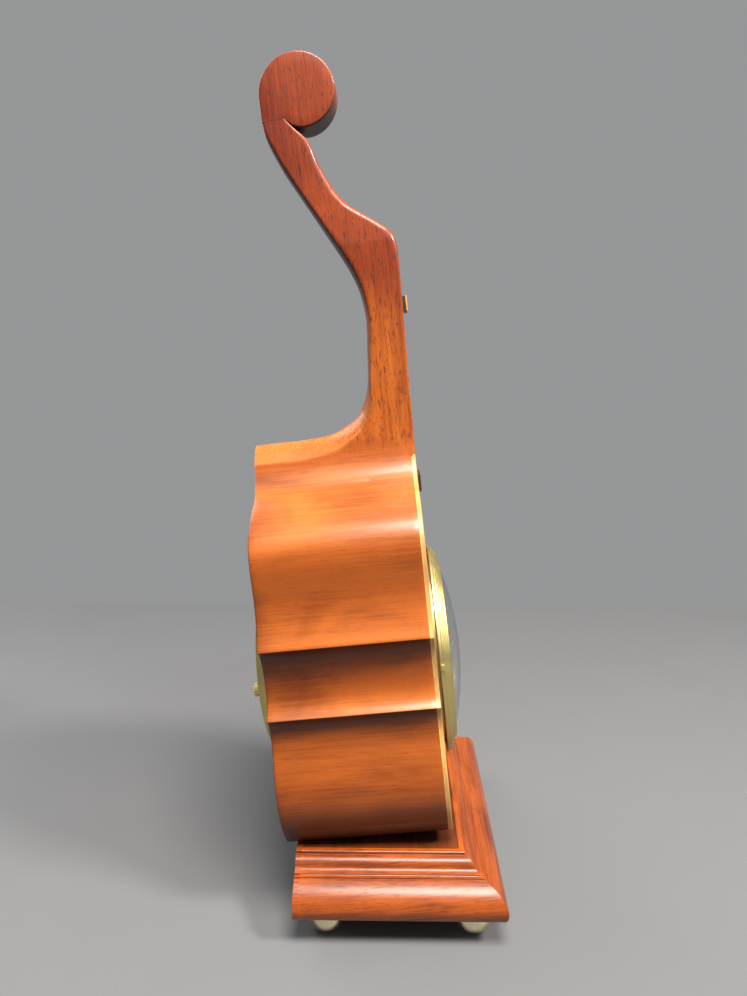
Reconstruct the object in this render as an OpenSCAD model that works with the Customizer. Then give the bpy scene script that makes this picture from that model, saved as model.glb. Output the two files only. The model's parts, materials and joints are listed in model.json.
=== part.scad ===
// Shelf timepiece in the form of a cello: a mahogany case leaning back on a moulded plinth,
// with a domed glass door in front and a drum movement that can be reached from behind.
// Millimetres. +X is the clock's own left-to-right seen from the front, the dial faces -Y,
// +Z is up, and the origin is on the shelf, under the middle of the clock's width and depth.

/* [Plinth] */
// Width of the plinth at its lowest moulding
base_w = 150; // [120:1:190]
// Depth of the plinth at its lowest moulding
base_d = 95.6; // [80:0.2:130]
// Height of the plinth without its feet
base_h = 22.8; // [18:0.2:32]
// Width of the plinth's moulding from its outer edge to its top fillet
base_step = 20.7; // [14:0.1:26]
// Thickness of the strip that closes the ends of the side mouldings
base_strip_t = 2.6; // [1.5:0.1:5]
// Height of each brass foot
foot_h = 12; // [8:0.5:18]
// Radius of each brass foot
foot_r = 9; // [6:0.5:12]

/* [Case] */
// How far the case leans back from upright
lean = 5.3; // [0:0.1:9]
// Depth of the wooden block behind the front board
case_d = 76; // [60:0.5:90]
// Thickness of the front board and of the stringing round it
board_t = 2; // [1:0.1:4]
// Width of the boxwood stringing seen from the front
stringing_w = 2; // [1:0.1:4]
// Height of the flat bottom of the case above the bottom of the plinth
case_z = 27.6; // [24:0.1:34]
// Height of the middle of the dial above the bottom of the plinth
dial_z = 98; // [92:0.5:104]

/* [Neck and scroll] */
// Half of the neck's width
neck_half = 10.5; // [7:0.5:14]
// Half of the scroll's thickness
scroll_half = 8; // [5:0.5:11]
// Radius of the round scroll
scroll_r = 16.3; // [12:0.1:20]

/* [Drum and doors] */
// Outside radius of the brass drum
drum_r = 43.8; // [40:0.1:45]
// Outside radius of the front bezel
bezel_r = 52; // [48:0.5:56]
// Number of reeds on the front bezel
reeds = 5; // [3:1:8]
// Height of the glass dome above its edge
dome_h = 5.2; // [3:0.1:8]
// Outside radius of the rear door
rear_r = 43.5; // [40:0.5:46]

/* [Movement] */
// Teeth of the great wheel on the barrel
great_t = 72; // [60:6:96]
// Teeth of the centre wheel
centre_t = 64; // [48:8:80]
// Teeth of the third wheel
third_t = 60; // [45:15:75]
// Teeth of the fourth wheel
fourth_t = 80; // [60:10:80]
// Teeth of the escape wheel
escape_t = 15; // [13:1:18]

/* [Hidden] */

wood = [0.50, 0.20, 0.09];
wood_red = [0.42, 0.14, 0.07];
boxwood = [0.85, 0.68, 0.42];
brass = [0.80, 0.68, 0.35];
steel = [0.55, 0.56, 0.60];
enamel = [0.93, 0.92, 0.86];

running = 0.05;        // radial clearance of a pivot in its hole
fine = 96;             // facets asked for on a large round
round_fn = 48;         // facets asked for on a small round
case_front = -25.5;    // front of the wooden block, in the leaning frame
case_back = case_front + case_d;
panel_front = case_front - board_t;

// ---------------------------------------------------------------- shared shapes

// A cubic curve from a to d with the handles b and c, without its last point.
function curve(a, b, c, d, n = 8) = [
  for (i = [0 : n - 1])
    let (t = i / n, s = 1 - t)
    s * s * s * a + 3 * s * s * t * b + 3 * s * t * t * c + t * t * t * d
];

function arc_points(cx, cy, r, a0, a1, n) = [
  for (i = [0 : n]) [cx + r * cos(a0 + (a1 - a0) * i / n), cy + r * sin(a0 + (a1 - a0) * i / n)]
];

function mirrored(pts) = [for (i = [len(pts) - 1 : -1 : 0]) [-pts[i][0], pts[i][1]]];

// The top of the shoulder leans out behind the plinth, so the plinth stands forward of the
// origin, which is the middle of the whole clock's depth.
shoulder_top = 211;
plinth_y = (base_d / 2 - case_back * cos(lean) - shoulder_top * sin(lean)) / 2;

// The plinth stands on its feet.
module on_feet() {
  translate([0, plinth_y, foot_h])
    children();
}

// Everything in the case leans back about the middle of the plinth's underside.
module leaning() {
  on_feet()
    rotate([-lean, 0, 0])
      children();
}

// Turns a shape drawn in X and Y, with its thickness in Z, to lie across the case:
// drawing X is the case's X, drawing Y is up, and thickness runs forward from y.
module facing(y = 0, x = 0, z = dial_z) {
  translate([x, y, z])
    rotate([90, 0, 0])
      children();
}

// A disc or tube on an axis that runs front to back, from y0 (front) to y1 (back).
module disc(y0, y1, r, hole = 0, x = 0, z = 0) {
  translate([x, y1, dial_z + z])
    rotate([90, 0, 0])
      difference() {
        cylinder(h = y1 - y0, r = r, $fn = round_fn);
        if (hole > 0)
          translate([0, 0, -1])
            cylinder(h = y1 - y0 + 2, r = hole, $fn = round_fn);
      }
}

// ---------------------------------------------------------------- plinth

core_half = base_w / 2 - base_step;
core_front = -base_d / 2 + base_step;
core_back = base_d / 2 - base_strip_t;

// The moulding's section: x is how far it stands out from the core, y is its height.
moulding_section = concat(
  [[0, 0], [base_step - 3, 0]],
  curve([base_step - 3, 0], [base_step - 1, 0], [base_step, 2.5], [base_step, 5.5], 5),
  curve([base_step, 5.5], [base_step - 0.6, 9.6], [base_step - 3.6, 13], [base_step - 8.8, 14.9], 8),
  [[base_step - 8.8, 14.9], [base_step - 9.6, 14.9], [base_step - 9.6, 15.7],
   [base_step - 11, 15.7], [base_step - 11, 16.5]],
  curve([base_step - 11, 16.5], [base_step - 12.8, 16.8], [base_step - 13.6, 17.4],
    [base_step - 13.8, 18.3], 4),
  curve([base_step - 13.8, 18.3], [base_step - 14.2, 20.2], [base_step - 15.8, 21.4],
    [base_step - 18, 21.4], 5),
  [[base_step - 18, 21.4], [base_step - 18, base_h], [0, base_h]]
);

// The outline of the plinth's right half seen from the front, without its middle line.
side_section = [
  for (i = [1 : len(moulding_section) - 2]) [core_half + moulding_section[i][0], moulding_section[i][1]]
];

module moulding_run(length) {
  rotate([90, 0, 90])
    linear_extrude(height = length)
      polygon(moulding_section);
}

// One side of the moulding, running front to back and mitred at the front.
module side_moulding() {
  difference() {
    translate([core_half, core_back, 0])
      rotate([0, 0, -90])
        moulding_run(base_d - base_strip_t);
    translate([core_half, core_front, -1])
      rotate([0, 0, -45])
        translate([-base_step, -3 * base_step, 0])
          cube([4 * base_step, 3 * base_step, base_h + 2]);
  }
}

module base_core() {
  on_feet()
    color(wood_red)
      difference() {
        translate([-core_half, core_front, 0])
          cube([2 * core_half, core_back - core_front, base_h]);
        for (side = [-1, 1])
          translate([side * case_screw_x, case_screw_y, -1])
            cylinder(h = base_h + 2, r = case_screw_r, $fn = round_fn);
      }
}

module base_moulding_front() {
  on_feet()
    color(wood_red)
      difference() {
        translate([-base_w / 2, core_front, 0])
          mirror([0, 1, 0])
            moulding_run(base_w);
        for (side = [0, 1])
          mirror([side, 0, 0])
            translate([core_half, core_front, -1])
              rotate([0, 0, -45])
                cube([3 * base_step, 3 * base_step, base_h + 2]);
      }
}

module base_moulding_left() {
  on_feet()
    color(wood_red)
      mirror([1, 0, 0])
        side_moulding();
}

module base_moulding_right() {
  on_feet()
    color(wood_red)
      side_moulding();
}

// A thin strip across the flat back, cut to the same section as the mouldings.
module base_back_strip() {
  on_feet()
    color(wood)
      translate([0, core_back + base_strip_t, 0])
        rotate([90, 0, 0])
          linear_extrude(height = base_strip_t)
            polygon(concat(side_section, mirrored(side_section)));
}

// ---------------------------------------------------------------- feet

foot_x = base_w / 2 - 15;
foot_y_front = -base_d / 2 + 14.5;
foot_y_back = base_d / 2 - 14;
foot_screw_r = 1.7;

// A flattened brass bun with a collar under the wood and a bore for its screw.
module foot(x, y) {
  translate([x, y + plinth_y, 0])
    color(brass)
      rotate_extrude($fn = round_fn)
        polygon(concat(
          [[foot_screw_r, foot_h], [foot_screw_r, 2.5], [3.4, 2.5], [3.4, 0], [foot_r - 4, 0]],
          curve([foot_r - 4, 0], [foot_r - 1, 0.3], [foot_r, 2.6], [foot_r, foot_h * 0.5], 6),
          curve([foot_r, foot_h * 0.5], [foot_r, foot_h * 0.75], [foot_r - 1.4, foot_h * 0.84],
            [foot_r - 2.4, foot_h * 0.86], 5),
          [[foot_r - 2.4, foot_h * 0.86], [foot_r - 2.4, foot_h]]
        ));
}

module foot_front_left() {
  foot(-foot_x, foot_y_front);
}

module foot_front_right() {
  foot(foot_x, foot_y_front);
}

module foot_back_left() {
  foot(-foot_x, foot_y_back);
}

module foot_back_right() {
  foot(foot_x, foot_y_back);
}

// One screw up through each foot: a head inside the foot and a shank that ends in its bore.
module foot_screws() {
  color(steel)
    for (side = [-1, 1])
      for (y = [foot_y_front, foot_y_back])
        translate([side * foot_x, y + plinth_y, 0.8]) {
          cylinder(h = 1.7, r = 3.1, $fn = round_fn);
          cylinder(h = foot_h - 0.8, r = foot_screw_r, $fn = round_fn);
        }
}

// ---------------------------------------------------------------- case

// Half of the cello outline, from the middle of the flat bottom to the top of the shoulder.
outline_half = concat(
  [[0, case_z]],
  curve([51.5, case_z], [56, case_z + 5.4], [61.7, 42], [61.7, 54]),
  curve([61.7, 54], [61.7, 64], [57.5, 71], [56, 79]),
  curve([56, 79], [54.8, 85], [57, 90], [60, 92.2], 5),
  curve([60, 92.2], [55.6, 94.5], [53.2, 100], [53.2, 108]),
  curve([53.2, 108], [53.2, 117], [56, 122.8], [60.5, 124.5]),
  curve([60.5, 124.5], [57.5, 129], [53.3, 137], [53, 146]),
  curve([53, 146], [52.9, 155], [54.5, 164], [50, 170.5]),
  curve([50, 170.5], [46.5, 176], [38, 181.5], [29, 185]),
  curve([29, 185], [20, 188.5], [14, 194], [12, 203]),
  curve([12, 203], [10.5, 208.5], [5, shoulder_top], [0, shoulder_top], 6)
);
outline = concat(
  outline_half,
  [[0, shoulder_top]],
  mirrored([for (i = [1 : len(outline_half) - 1]) outline_half[i]])
);

// The outline cut out of a board whose back is at y and whose thickness is t.
module outline_board(y, t, inset = 0) {
  facing(y, 0, 0)
    linear_extrude(height = t)
      offset(delta = -inset)
        polygon(outline);
}

bore_clear = 0.2;
case_screw_x = 30;
case_screw_y = 12;
case_screw_r = 1.8;

module drum_bore(y0, y1) {
  disc(y0, y1, drum_r + bore_clear);
}

// The neck's root is let into the top of the block, down to root_z and back to neck_root_y.
neck_root_y = 30;
root_z = 196;

module case_body() {
  leaning()
    color(wood)
      difference() {
        facing(case_back, 0, 0)
          linear_extrude(height = case_d)
            polygon(outline);
        drum_bore(case_front - 1, case_back + 1);
        neck_root();
        for (side = [-1, 1])
          translate([side * case_screw_x, case_screw_y, case_z - 4])
            cylinder(h = 18, r = case_screw_r, $fn = round_fn);
      }
}

module front_board() {
  leaning()
    color(wood)
      difference() {
        outline_board(case_front, board_t, stringing_w);
        drum_bore(panel_front - 1, case_front + 1);
        neck_root();
      }
}

// The pale line round the front edge. It stops at each side of the neck.
module edge_stringing() {
  leaning()
    color(boxwood)
      difference() {
        outline_board(case_front, board_t);
        facing(case_front + 1, 0, 0)
          linear_extrude(height = board_t + 2)
            offset(delta = -stringing_w)
              polygon(outline);
        neck_root();
      }
}

// A wedge glued under the case fills the gap that the lean leaves, set back out of sight.
module seat_wedge() {
  half = 34;
  front = -14;
  back = 38;
  on_feet()
    color(wood_red)
      difference() {
        translate([-half, front, base_h])
          cube([2 * half, back - front, 12]);
        rotate([-lean, 0, 0])
          translate([-half - 1, front - 20, case_z])
            cube([2 * half + 2, back - front + 40, 30]);
        for (side = [-1, 1])
          translate([side * case_screw_x, case_screw_y, base_h - 2])
            cylinder(h = 14, r = case_screw_r, $fn = round_fn);
      }
}

// Two screws up through the plinth and the wedge, stopping short of the case's own holes.
module case_screws() {
  on_feet()
    color(steel)
      for (side = [-1, 1])
        translate([side * case_screw_x, case_screw_y, 0]) {
          cylinder(h = base_h + 2.5, r = case_screw_r, $fn = round_fn);
          translate([0, 0, -2])
            cylinder(h = 2, r = 4, $fn = round_fn);
        }
}

// ---------------------------------------------------------------- neck and scroll

scroll_y = 8.8;
scroll_z = 369.5;

// The neck and peg box seen from the side: drawing x is the leaning Y, drawing y is up.
neck_side = concat(
  [[panel_front, root_z], [-28.6, 289]],
  curve([-28.6, 289], [-28.8, 299], [-28.6, 302], [-24.4, 305.7], 5),
  curve([-24.4, 305.7], [-17, 311.5], [-11, 315], [-7.6, 317.6], 4),
  curve([-7.6, 317.6], [-2.5, 323], [2, 331], [4.6, 339], 6),
  curve([4.6, 339], [5.6, 343], [7, 347], [10.5, 352], 4),
  [[20, 362], [27.6, 366.9]],
  curve([27.6, 366.9], [28.4, 353], [25, 343.5], [20.7, 336.3], 8),
  curve([20.7, 336.3], [15, 327], [2, 305], [-1.9, 295.2], 8),
  curve([-1.9, 295.2], [-6.5, 284], [-10.6, 274], [-10.4, 262], 8),
  curve([-10.4, 262], [-10.1, 250], [-9.2, 236], [-7.4, 231], 5),
  curve([-7.4, 231], [-4.5, 219.5], [6, 211.6], [27, shoulder_top], 8),
  [[neck_root_y, shoulder_top], [neck_root_y, root_z]]
);

module neck_profile() {
  rotate([90, 0, 90])
    linear_extrude(height = 2 * neck_half, center = true)
      polygon(neck_side);
}

// The part of the neck that lies inside the outline of the block.
module neck_root() {
  translate([-neck_half, panel_front - 1, root_z])
    cube([2 * neck_half, neck_root_y - panel_front + 1, 30]);
}

module neck_scroll() {
  leaning()
    color(wood) {
      intersection() {
        neck_profile();
        // Seen from the front the neck narrows from its root to the scroll.
        facing(60, 0, 0)
          linear_extrude(height = 120)
            polygon([
              [-neck_half, 190], [neck_half, 190], [neck_half, 300],
              [scroll_half, 330], [scroll_half, 390], [-scroll_half, 390],
              [-scroll_half, 330], [-neck_half, 300]
            ]);
        // The back of the root is crowned like the shoulder.
        union() {
          facing(60, 0, 0)
            linear_extrude(height = 120)
              polygon(outline);
          translate([-2 * neck_half, -60, root_z])
            cube([4 * neck_half, 60 + 24, 40]);
          translate([-2 * neck_half, -60, root_z + 39])
            cube([4 * neck_half, 120, 180]);
        }
      }
      translate([-scroll_half, scroll_y, scroll_z])
        rotate([0, 90, 0])
          cylinder(h = 2 * scroll_half, r = scroll_r, $fn = fine);
    }
}

// The string nut across the neck, fitted to its front.
module nut() {
  leaning()
    color(boxwood)
      difference() {
        translate([-7, -30.6, 267.5])
          cube([14, 4, 6.9]);
        neck_profile();
      }
}

// A thin saddle low on the neck, over the edge of the sound board.
module lower_saddle() {
  leaning()
    color(wood_red)
      translate([-8, panel_front - 1.6, 180.6])
        cube([16, 1.6, 9]);
}

// ---------------------------------------------------------------- drum and front door

drum_wall = 1.2;
drum_in = drum_r - drum_wall;
seat_r = 48;
seat_front = panel_front - 1.1;
seat_back = panel_front;
bezel_back = seat_front - 0.3;
bezel_front = -36.6;
bezel_in = 42.8;
glass_r = 44.4;
glass_t = 1.5;
glass_edge = bezel_front + 1.2;       // front of the glass at its edge
glass_back = glass_edge + glass_t;
dome_ball = (glass_r * glass_r + dome_h * dome_h) / (2 * dome_h);
hinge_r = 1.4;
pin_r = 0.6;
bezel_axis_x = bezel_r + 1.4;
bezel_axis_y = seat_front - 1.6;
catch_angle = 10;         // how far above the middle of the rim the thumb piece is
knuckle_l = 4;

module drum_shell() {
  leaning()
    color(brass)
      difference() {
        disc(seat_front, case_back, drum_r, drum_in);
        for (i = [0 : 2])
          rotate_on_dial(120 * i + 90)
            translate([0, -12, drum_r - 2])
              cylinder(h = 4, r = 1.1, $fn = round_fn);
      }
}

// Turns its children clockwise about the middle of the dial, as seen from the front.
module rotate_on_dial(angle) {
  translate([0, 0, dial_z])
    rotate([0, angle, 0])
      children();
}

// Three screws through the drum into the case, with heads inside the drum.
module drum_screws() {
  leaning()
    color(steel)
      for (i = [0 : 2])
        rotate_on_dial(120 * i + 90)
          translate([0, -12, drum_in - 0.9]) {
            cylinder(h = drum_wall + 0.9, r = 1.05, $fn = round_fn);
            cylinder(h = 0.85, r = 2, $fn = round_fn);
          }
}

// The knuckles of a hinge along the case's upright axis, from z0 to z1 about its middle.
module knuckle(x, y, z0, z1) {
  translate([x, y, dial_z + z0])
    difference() {
      cylinder(h = z1 - z0, r = hinge_r, $fn = round_fn);
      translate([0, 0, -1])
        cylinder(h = z1 - z0 + 2, r = pin_r + running, $fn = round_fn);
    }
}

module bezel_seat() {
  leaning()
    color(brass) {
      disc(seat_front, seat_back, seat_r, drum_r);
      difference() {
        translate([seat_r - 2, seat_front, dial_z - knuckle_l / 2 + 0.2])
          cube([bezel_axis_x - seat_r + 2.6, seat_back - seat_front, knuckle_l - 0.4]);
        disc(seat_front - 1, seat_back + 1, seat_r - 1);
      }
      knuckle(bezel_axis_x, bezel_axis_y, -knuckle_l / 2 + 0.2, knuckle_l / 2 - 0.2);
      difference() {
        translate([bezel_axis_x - 0.5, bezel_axis_y + hinge_r - 0.3, dial_z - knuckle_l / 2 + 0.2])
          cube([1, seat_front - bezel_axis_y - hinge_r + 0.4, knuckle_l - 0.4]);
        translate([bezel_axis_x, bezel_axis_y, dial_z - knuckle_l])
          cylinder(h = 2 * knuckle_l, r = pin_r + running, $fn = round_fn);
      }
    }
}

// A ring whose section is drawn with x as radius and y as the case's Y.
module turned() {
  translate([0, 0, dial_z])
    rotate([-90, 0, 0])
      rotate_extrude($fn = fine)
        children();
}

// How far forward the outside of the dome is at radius r.
function dome_y(r) = glass_edge + dome_ball - dome_h - sqrt(dome_ball * dome_ball - r * r);

// The reeded bezel, with a lip in front of the glass and two hinge knuckles.
module bezel_ring() {
  reed_r = 0.95;
  gap = 0.05;
  reed_run = bezel_r - bezel_in - 3.2;
  leaning()
    color(brass) {
      difference() {
        union() {
          turned()
            difference() {
              union() {
                polygon([
                  [bezel_r - 0.2, bezel_back], [bezel_r, bezel_back - 0.3],
                  [bezel_r, bezel_back - 1.6], [bezel_r - 1.2, bezel_back - 2],
                  [bezel_in + 1.2, bezel_front + 0.3], [bezel_in + 0.8, bezel_front],
                  [bezel_in, bezel_front], [bezel_in, bezel_back]
                ]);
                for (i = [0 : reeds - 1])
                  translate([
                    bezel_r - 1.6 - reed_run * i / (reeds - 1),
                    bezel_back - 2 - (bezel_back - bezel_front - 2.9) * i / (reeds - 1)
                  ])
                    circle(r = reed_r, $fn = 20);
              }
              // The recess that holds the glass and its retainer from behind.
              polygon([
                [bezel_in - 1, dome_y(bezel_in - 1) - gap], [glass_r + 0.1, glass_edge - gap],
                [glass_r + 0.1, seat_front - 1.9], [glass_r + 1, seat_front - 1.9],
                [glass_r + 1, bezel_back + 1], [bezel_in - 1, bezel_back + 1]
              ]);
            }
          for (side = [0, 1])
            translate([0, 0, 2 * dial_z * side])
              mirror([0, 0, side])
                translate([bezel_axis_x - 2.6, bezel_axis_y - hinge_r, dial_z + knuckle_l / 2 + 0.1])
                  cube([2.6, 2 * hinge_r - 0.2, knuckle_l]);
          knuckle(bezel_axis_x, bezel_axis_y, knuckle_l / 2 + 0.1, 1.5 * knuckle_l + 0.1);
          knuckle(bezel_axis_x, bezel_axis_y, -1.5 * knuckle_l - 0.1, -knuckle_l / 2 - 0.1);
          // The thumb piece that lifts the door, on the rim opposite the hinge.
          rotate_on_dial(catch_angle)
            translate([-bezel_r - 0.9, bezel_back - 1.8, -1.6])
              cube([2, 1.5, 3.2]);
        }
        translate([bezel_axis_x, bezel_axis_y, dial_z - 3 * knuckle_l])
          cylinder(h = 6 * knuckle_l, r = pin_r + running, $fn = round_fn);
        translate([bezel_axis_x, bezel_axis_y, dial_z])
          cube([2 * hinge_r + 1.4, 2 * hinge_r + 0.6, knuckle_l + 0.2], center = true);
      }
    }
}

// A shallow dome of even thickness.
module glass() {
  n = 12;
  leaning()
    color([0.8, 0.9, 0.9, 0.4])
      turned()
        polygon(concat(
          [for (i = [0 : n]) [glass_r * i / n, dome_y(glass_r * i / n)]],
          [for (i = [n : -1 : 0]) [glass_r * i / n, dome_y(glass_r * i / n) + glass_t]]
        ));
}

module glass_retainer() {
  leaning()
    color(brass)
      disc(glass_back, seat_front - 2, glass_r, bezel_in);
}

module bezel_hinge_pin() {
  leaning()
    color(brass)
      translate([bezel_axis_x, bezel_axis_y, dial_z - 1.5 * knuckle_l - 0.1])
        cylinder(h = 3 * knuckle_l + 0.2, r = pin_r, $fn = round_fn);
}

// ---------------------------------------------------------------- rear door

rear_flange_r = 47;
rear_flange_in = drum_in - 2.6;
rear_flange_back = case_back + 1.1;
rear_front = rear_flange_back + 0.3;
rear_back = rear_front + 4.4;
rear_wall = 1;
rear_axis_x = rear_r + 1.5;
rear_axis_y = rear_flange_back + 1.6;
latch_x = -36;
latch_shaft_r = 1.2;

module rear_ring() {
  leaning()
    color(brass) {
      disc(case_back, rear_flange_back, rear_flange_r, rear_flange_in);
      knuckle(rear_axis_x, rear_axis_y, -knuckle_l / 2 + 0.2, knuckle_l / 2 - 0.2);
      difference() {
        translate([rear_axis_x - 0.5, rear_flange_back - 0.1, dial_z - knuckle_l / 2 + 0.2])
          cube([1, rear_axis_y - rear_flange_back - 1, knuckle_l - 0.4]);
        translate([rear_axis_x, rear_axis_y, dial_z - knuckle_l])
          cylinder(h = 2 * knuckle_l, r = pin_r + running, $fn = round_fn);
      }
    }
}

// A shallow brass cap with a row of vents, two hinge knuckles and a hole for its latch.
module rear_door() {
  leaning()
    color(brass) {
      difference() {
        union() {
          turned()
            polygon([
              [0, rear_back], [rear_r - 1.4, rear_back], [rear_r - 0.4, rear_back - 0.4],
              [rear_r, rear_back - 1.4], [rear_r, rear_front],
              [rear_r - rear_wall, rear_front], [rear_r - rear_wall, rear_back - rear_wall],
              [0, rear_back - rear_wall]
            ]);
          for (side = [0, 1])
            translate([0, 0, 2 * dial_z * side])
              mirror([0, 0, side])
                translate([rear_r - 0.9, rear_axis_y - hinge_r + 0.2, dial_z + knuckle_l / 2 + 0.1])
                  cube([2.4, 2 * hinge_r - 0.2, knuckle_l]);
          knuckle(rear_axis_x, rear_axis_y, knuckle_l / 2 + 0.1, 1.5 * knuckle_l + 0.1);
          knuckle(rear_axis_x, rear_axis_y, -1.5 * knuckle_l - 0.1, -knuckle_l / 2 - 0.1);
        }
        translate([rear_axis_x, rear_axis_y, dial_z - 3 * knuckle_l])
          cylinder(h = 6 * knuckle_l, r = pin_r + running, $fn = round_fn);
        disc(rear_front, rear_back + 1, latch_shaft_r + running, 0, latch_x);
        for (i = [-3 : 3])
          disc(rear_front, rear_back + 1, 1.2, 0, 5 * i, -26);
      }
    }
}

module rear_hinge_pin() {
  leaning()
    color(brass)
      translate([rear_axis_x, rear_axis_y, dial_z - 1.5 * knuckle_l - 0.1])
        cylinder(h = 3 * knuckle_l + 0.2, r = pin_r, $fn = round_fn);
}

// A milled knob outside the rear door, with a tongue that turns behind the ring's inner edge.
// It is drawn turned free, with the tongue upright.
module rear_latch() {
  tongue_t = 0.9;
  tongue_front = case_back - 0.3 - tongue_t;
  tongue_l = 4.9;
  leaning()
    color(brass) {
      difference() {
        disc(rear_back + 0.2, rear_back + 3, 3.2, 0, latch_x);
        for (i = [0 : 17])
          translate([latch_x, 0, dial_z])
            rotate([0, 20 * i, 0])
              translate([3.3, rear_back, 0])
                rotate([-90, 0, 0])
                  cylinder(h = 4, r = 0.35, $fn = 16);
      }
      disc(tongue_front, rear_back + 0.4, latch_shaft_r, 0, latch_x);
      translate([latch_x - 1.5, tongue_front, dial_z - 1.6])
        cube([3, tongue_t, tongue_l + 1.6]);
    }
}

// ---------------------------------------------------------------- dial

dial_r = glass_r + 0.1;
dial_t = 1.5;
dial_back = seat_front;
dial_front = dial_back - dial_t;
dial_foot_r = 36;

// Enamel on copper, with a slightly raised middle and a hole for the hands.
module dial() {
  leaning()
    color(enamel)
      difference() {
        union() {
          disc(dial_front, dial_back, dial_r);
          disc(dial_front - 0.25, dial_front + 0.1, 19);
        }
        disc(dial_front - 1, dial_back + 1, 2.6);
      }
}

module dial_feet() {
  leaning()
    color(brass)
      for (a = [30, 150, 270])
        disc(dial_back, plate_f0, 1.2, 0, dial_foot_r * cos(a), dial_foot_r * sin(a));
}

// ---------------------------------------------------------------- movement layout

plate_t = 2;
plate_f0 = -24;                    // front face of the front plate
plate_f1 = plate_f0 + plate_t;
plate_b0 = 2;                      // front face of the back plate
plate_b1 = plate_b0 + plate_t;
plate_r = 37;

great_m = 0.42;
centre_m = 0.40;
third_m = 0.35;
fourth_m = 0.24;
centre_p = 12;                     // leaves of the centre pinion
small_p = 8;                       // leaves of the other pinions

// Each axis is placed from the one before it by the distance at which the two mesh.
function beyond(p, d, a) = [p[0] + d * cos(a), p[1] + d * sin(a)];
great_angle = 225;
third_angle = 30;
fourth_angle = 100;
escape_angle = 190;
centre_xy = [0, 0];
barrel_xy = beyond(centre_xy, great_m * (great_t + centre_p) / 2, great_angle);
third_xy = beyond(centre_xy, centre_m * (centre_t + small_p) / 2, third_angle);
fourth_xy = beyond(third_xy, third_m * (third_t + small_p) / 2, fourth_angle);
escape_xy = beyond(fourth_xy, fourth_m * (fourth_t + small_p) / 2, escape_angle);
pallet_xy = beyond(escape_xy, 7.4, 170);
balance_xy = beyond(pallet_xy, 8.2, 190);
click_xy = beyond(barrel_xy, 10.2, 60);

pivot_r = 0.6;
arbor_r = 0.95;
pillar_r = 2.2;
pillar_ring = 33;
pillar_angles = [0, 80, 165, 290];

// ---------------------------------------------------------------- gears

// A gear drawn about its own middle with one tooth at the angle toward. A wheel has tall
// narrow tips and a pinion has slim leaves with radial flanks, so the two clear each other.
module gear_2d(teeth, m, toward, leaf = false) {
  r = teeth * m / 2;
  half = 90 / teeth * (leaf ? 0.70 : 0.80);
  tip = r + m * (leaf ? 0.72 : 0.95);
  root = r - m * (leaf ? 1.30 : 1.05);
  low = leaf ? 0.95 * r / root : 1.1;
  polygon([
    for (i = [0 : teeth - 1])
      let (a = toward + 360 * i / teeth)
      for (p = [[root, -low], [r, -1], [tip, -0.32], [tip, 0.32], [r, 1], [root, low]])
        [p[0] * cos(a + p[1] * half), p[0] * sin(a + p[1] * half)]
  ]);
}

// A spoked wheel between y0 and y1 on its axis xy.
module wheel(teeth, m, toward, y0, y1, xy, spokes = 5) {
  r = teeth * m / 2;
  rim = r - m * 1.05 - max(0.9, 0.09 * r);
  hub = max(2.2, 0.22 * r);
  facing(y1, xy[0], dial_z + xy[1])
    linear_extrude(height = y1 - y0)
      difference() {
        gear_2d(teeth, m, toward);
        circle(r = arbor_r * 0.8, $fn = round_fn);
        if (spokes > 0)
          difference() {
            circle(r = rim, $fn = fine);
            circle(r = hub, $fn = round_fn);
            for (i = [0 : spokes - 1])
              rotate(360 * i / spokes + 18)
                translate([0, -0.045 * r - 0.25])
                  square([r, 0.09 * r + 0.5]);
          }
      }
}

// A pinion whose gap faces the wheel at the angle toward.
module pinion(leaves, m, toward, y0, y1, xy) {
  facing(y1, xy[0], dial_z + xy[1])
    linear_extrude(height = y1 - y0)
      gear_2d(leaves, m, toward + 180 / leaves, true);
}

// An arbor with a thin pivot at each end.
module arbor(y0, y1, xy, r = arbor_r) {
  disc(y0, y1, r, 0, xy[0], xy[1]);
}

module pivots(y0, y1, xy) {
  disc(y0, y1, pivot_r, 0, xy[0], xy[1]);
}

// ---------------------------------------------------------------- plates

module pivot_hole(y0, y1, xy, r = pivot_r) {
  disc(y0, y1, r + running, 0, xy[0], xy[1]);
}

module pillar_holes(y0, y1, r) {
  for (a = pillar_angles)
    disc(y0, y1, r, 0, pillar_ring * cos(a), pillar_ring * sin(a));
}

// The front plate fills the drum and carries the dial.
module front_plate() {
  y0 = plate_f0;
  leaning()
    color(brass)
      difference() {
        disc(y0, plate_f1, drum_in - 0.1);
        pivot_hole(y0 - 1, plate_f1 + 1, centre_xy, arbor_r);
        pivot_hole(y0 - 1, plate_f1 + 1, barrel_xy, winding_r);
        for (xy = [third_xy, fourth_xy, escape_xy])
          pivot_hole(y0 - 1, plate_f1 + 1, xy);
        pillar_holes(y0 - 1, plate_f1 + 1, 1.2);
      }
}

module back_plate() {
  leaning()
    color(brass)
      difference() {
        disc(plate_b0, plate_b1, plate_r);
        pivot_hole(plate_b0 - 1, plate_b1 + 1, barrel_xy, winding_r);
        for (xy = [centre_xy, third_xy, fourth_xy, escape_xy, pallet_xy])
          pivot_hole(plate_b0 - 1, plate_b1 + 1, xy);
        disc(plate_b0 - 1, plate_b1 + 1, staff_r + 0.5, 0, balance_xy[0], balance_xy[1]);
        pillar_holes(plate_b0 - 1, plate_b1 + 1, 1.2);
        disc(plate_b0 - 1, plate_b1 + 1, 0.8, 0, click_xy[0], click_xy[1]);
        disc(plate_b0 - 1, plate_b1 + 1, 9, 0, 20, -16);
      }
}

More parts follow.
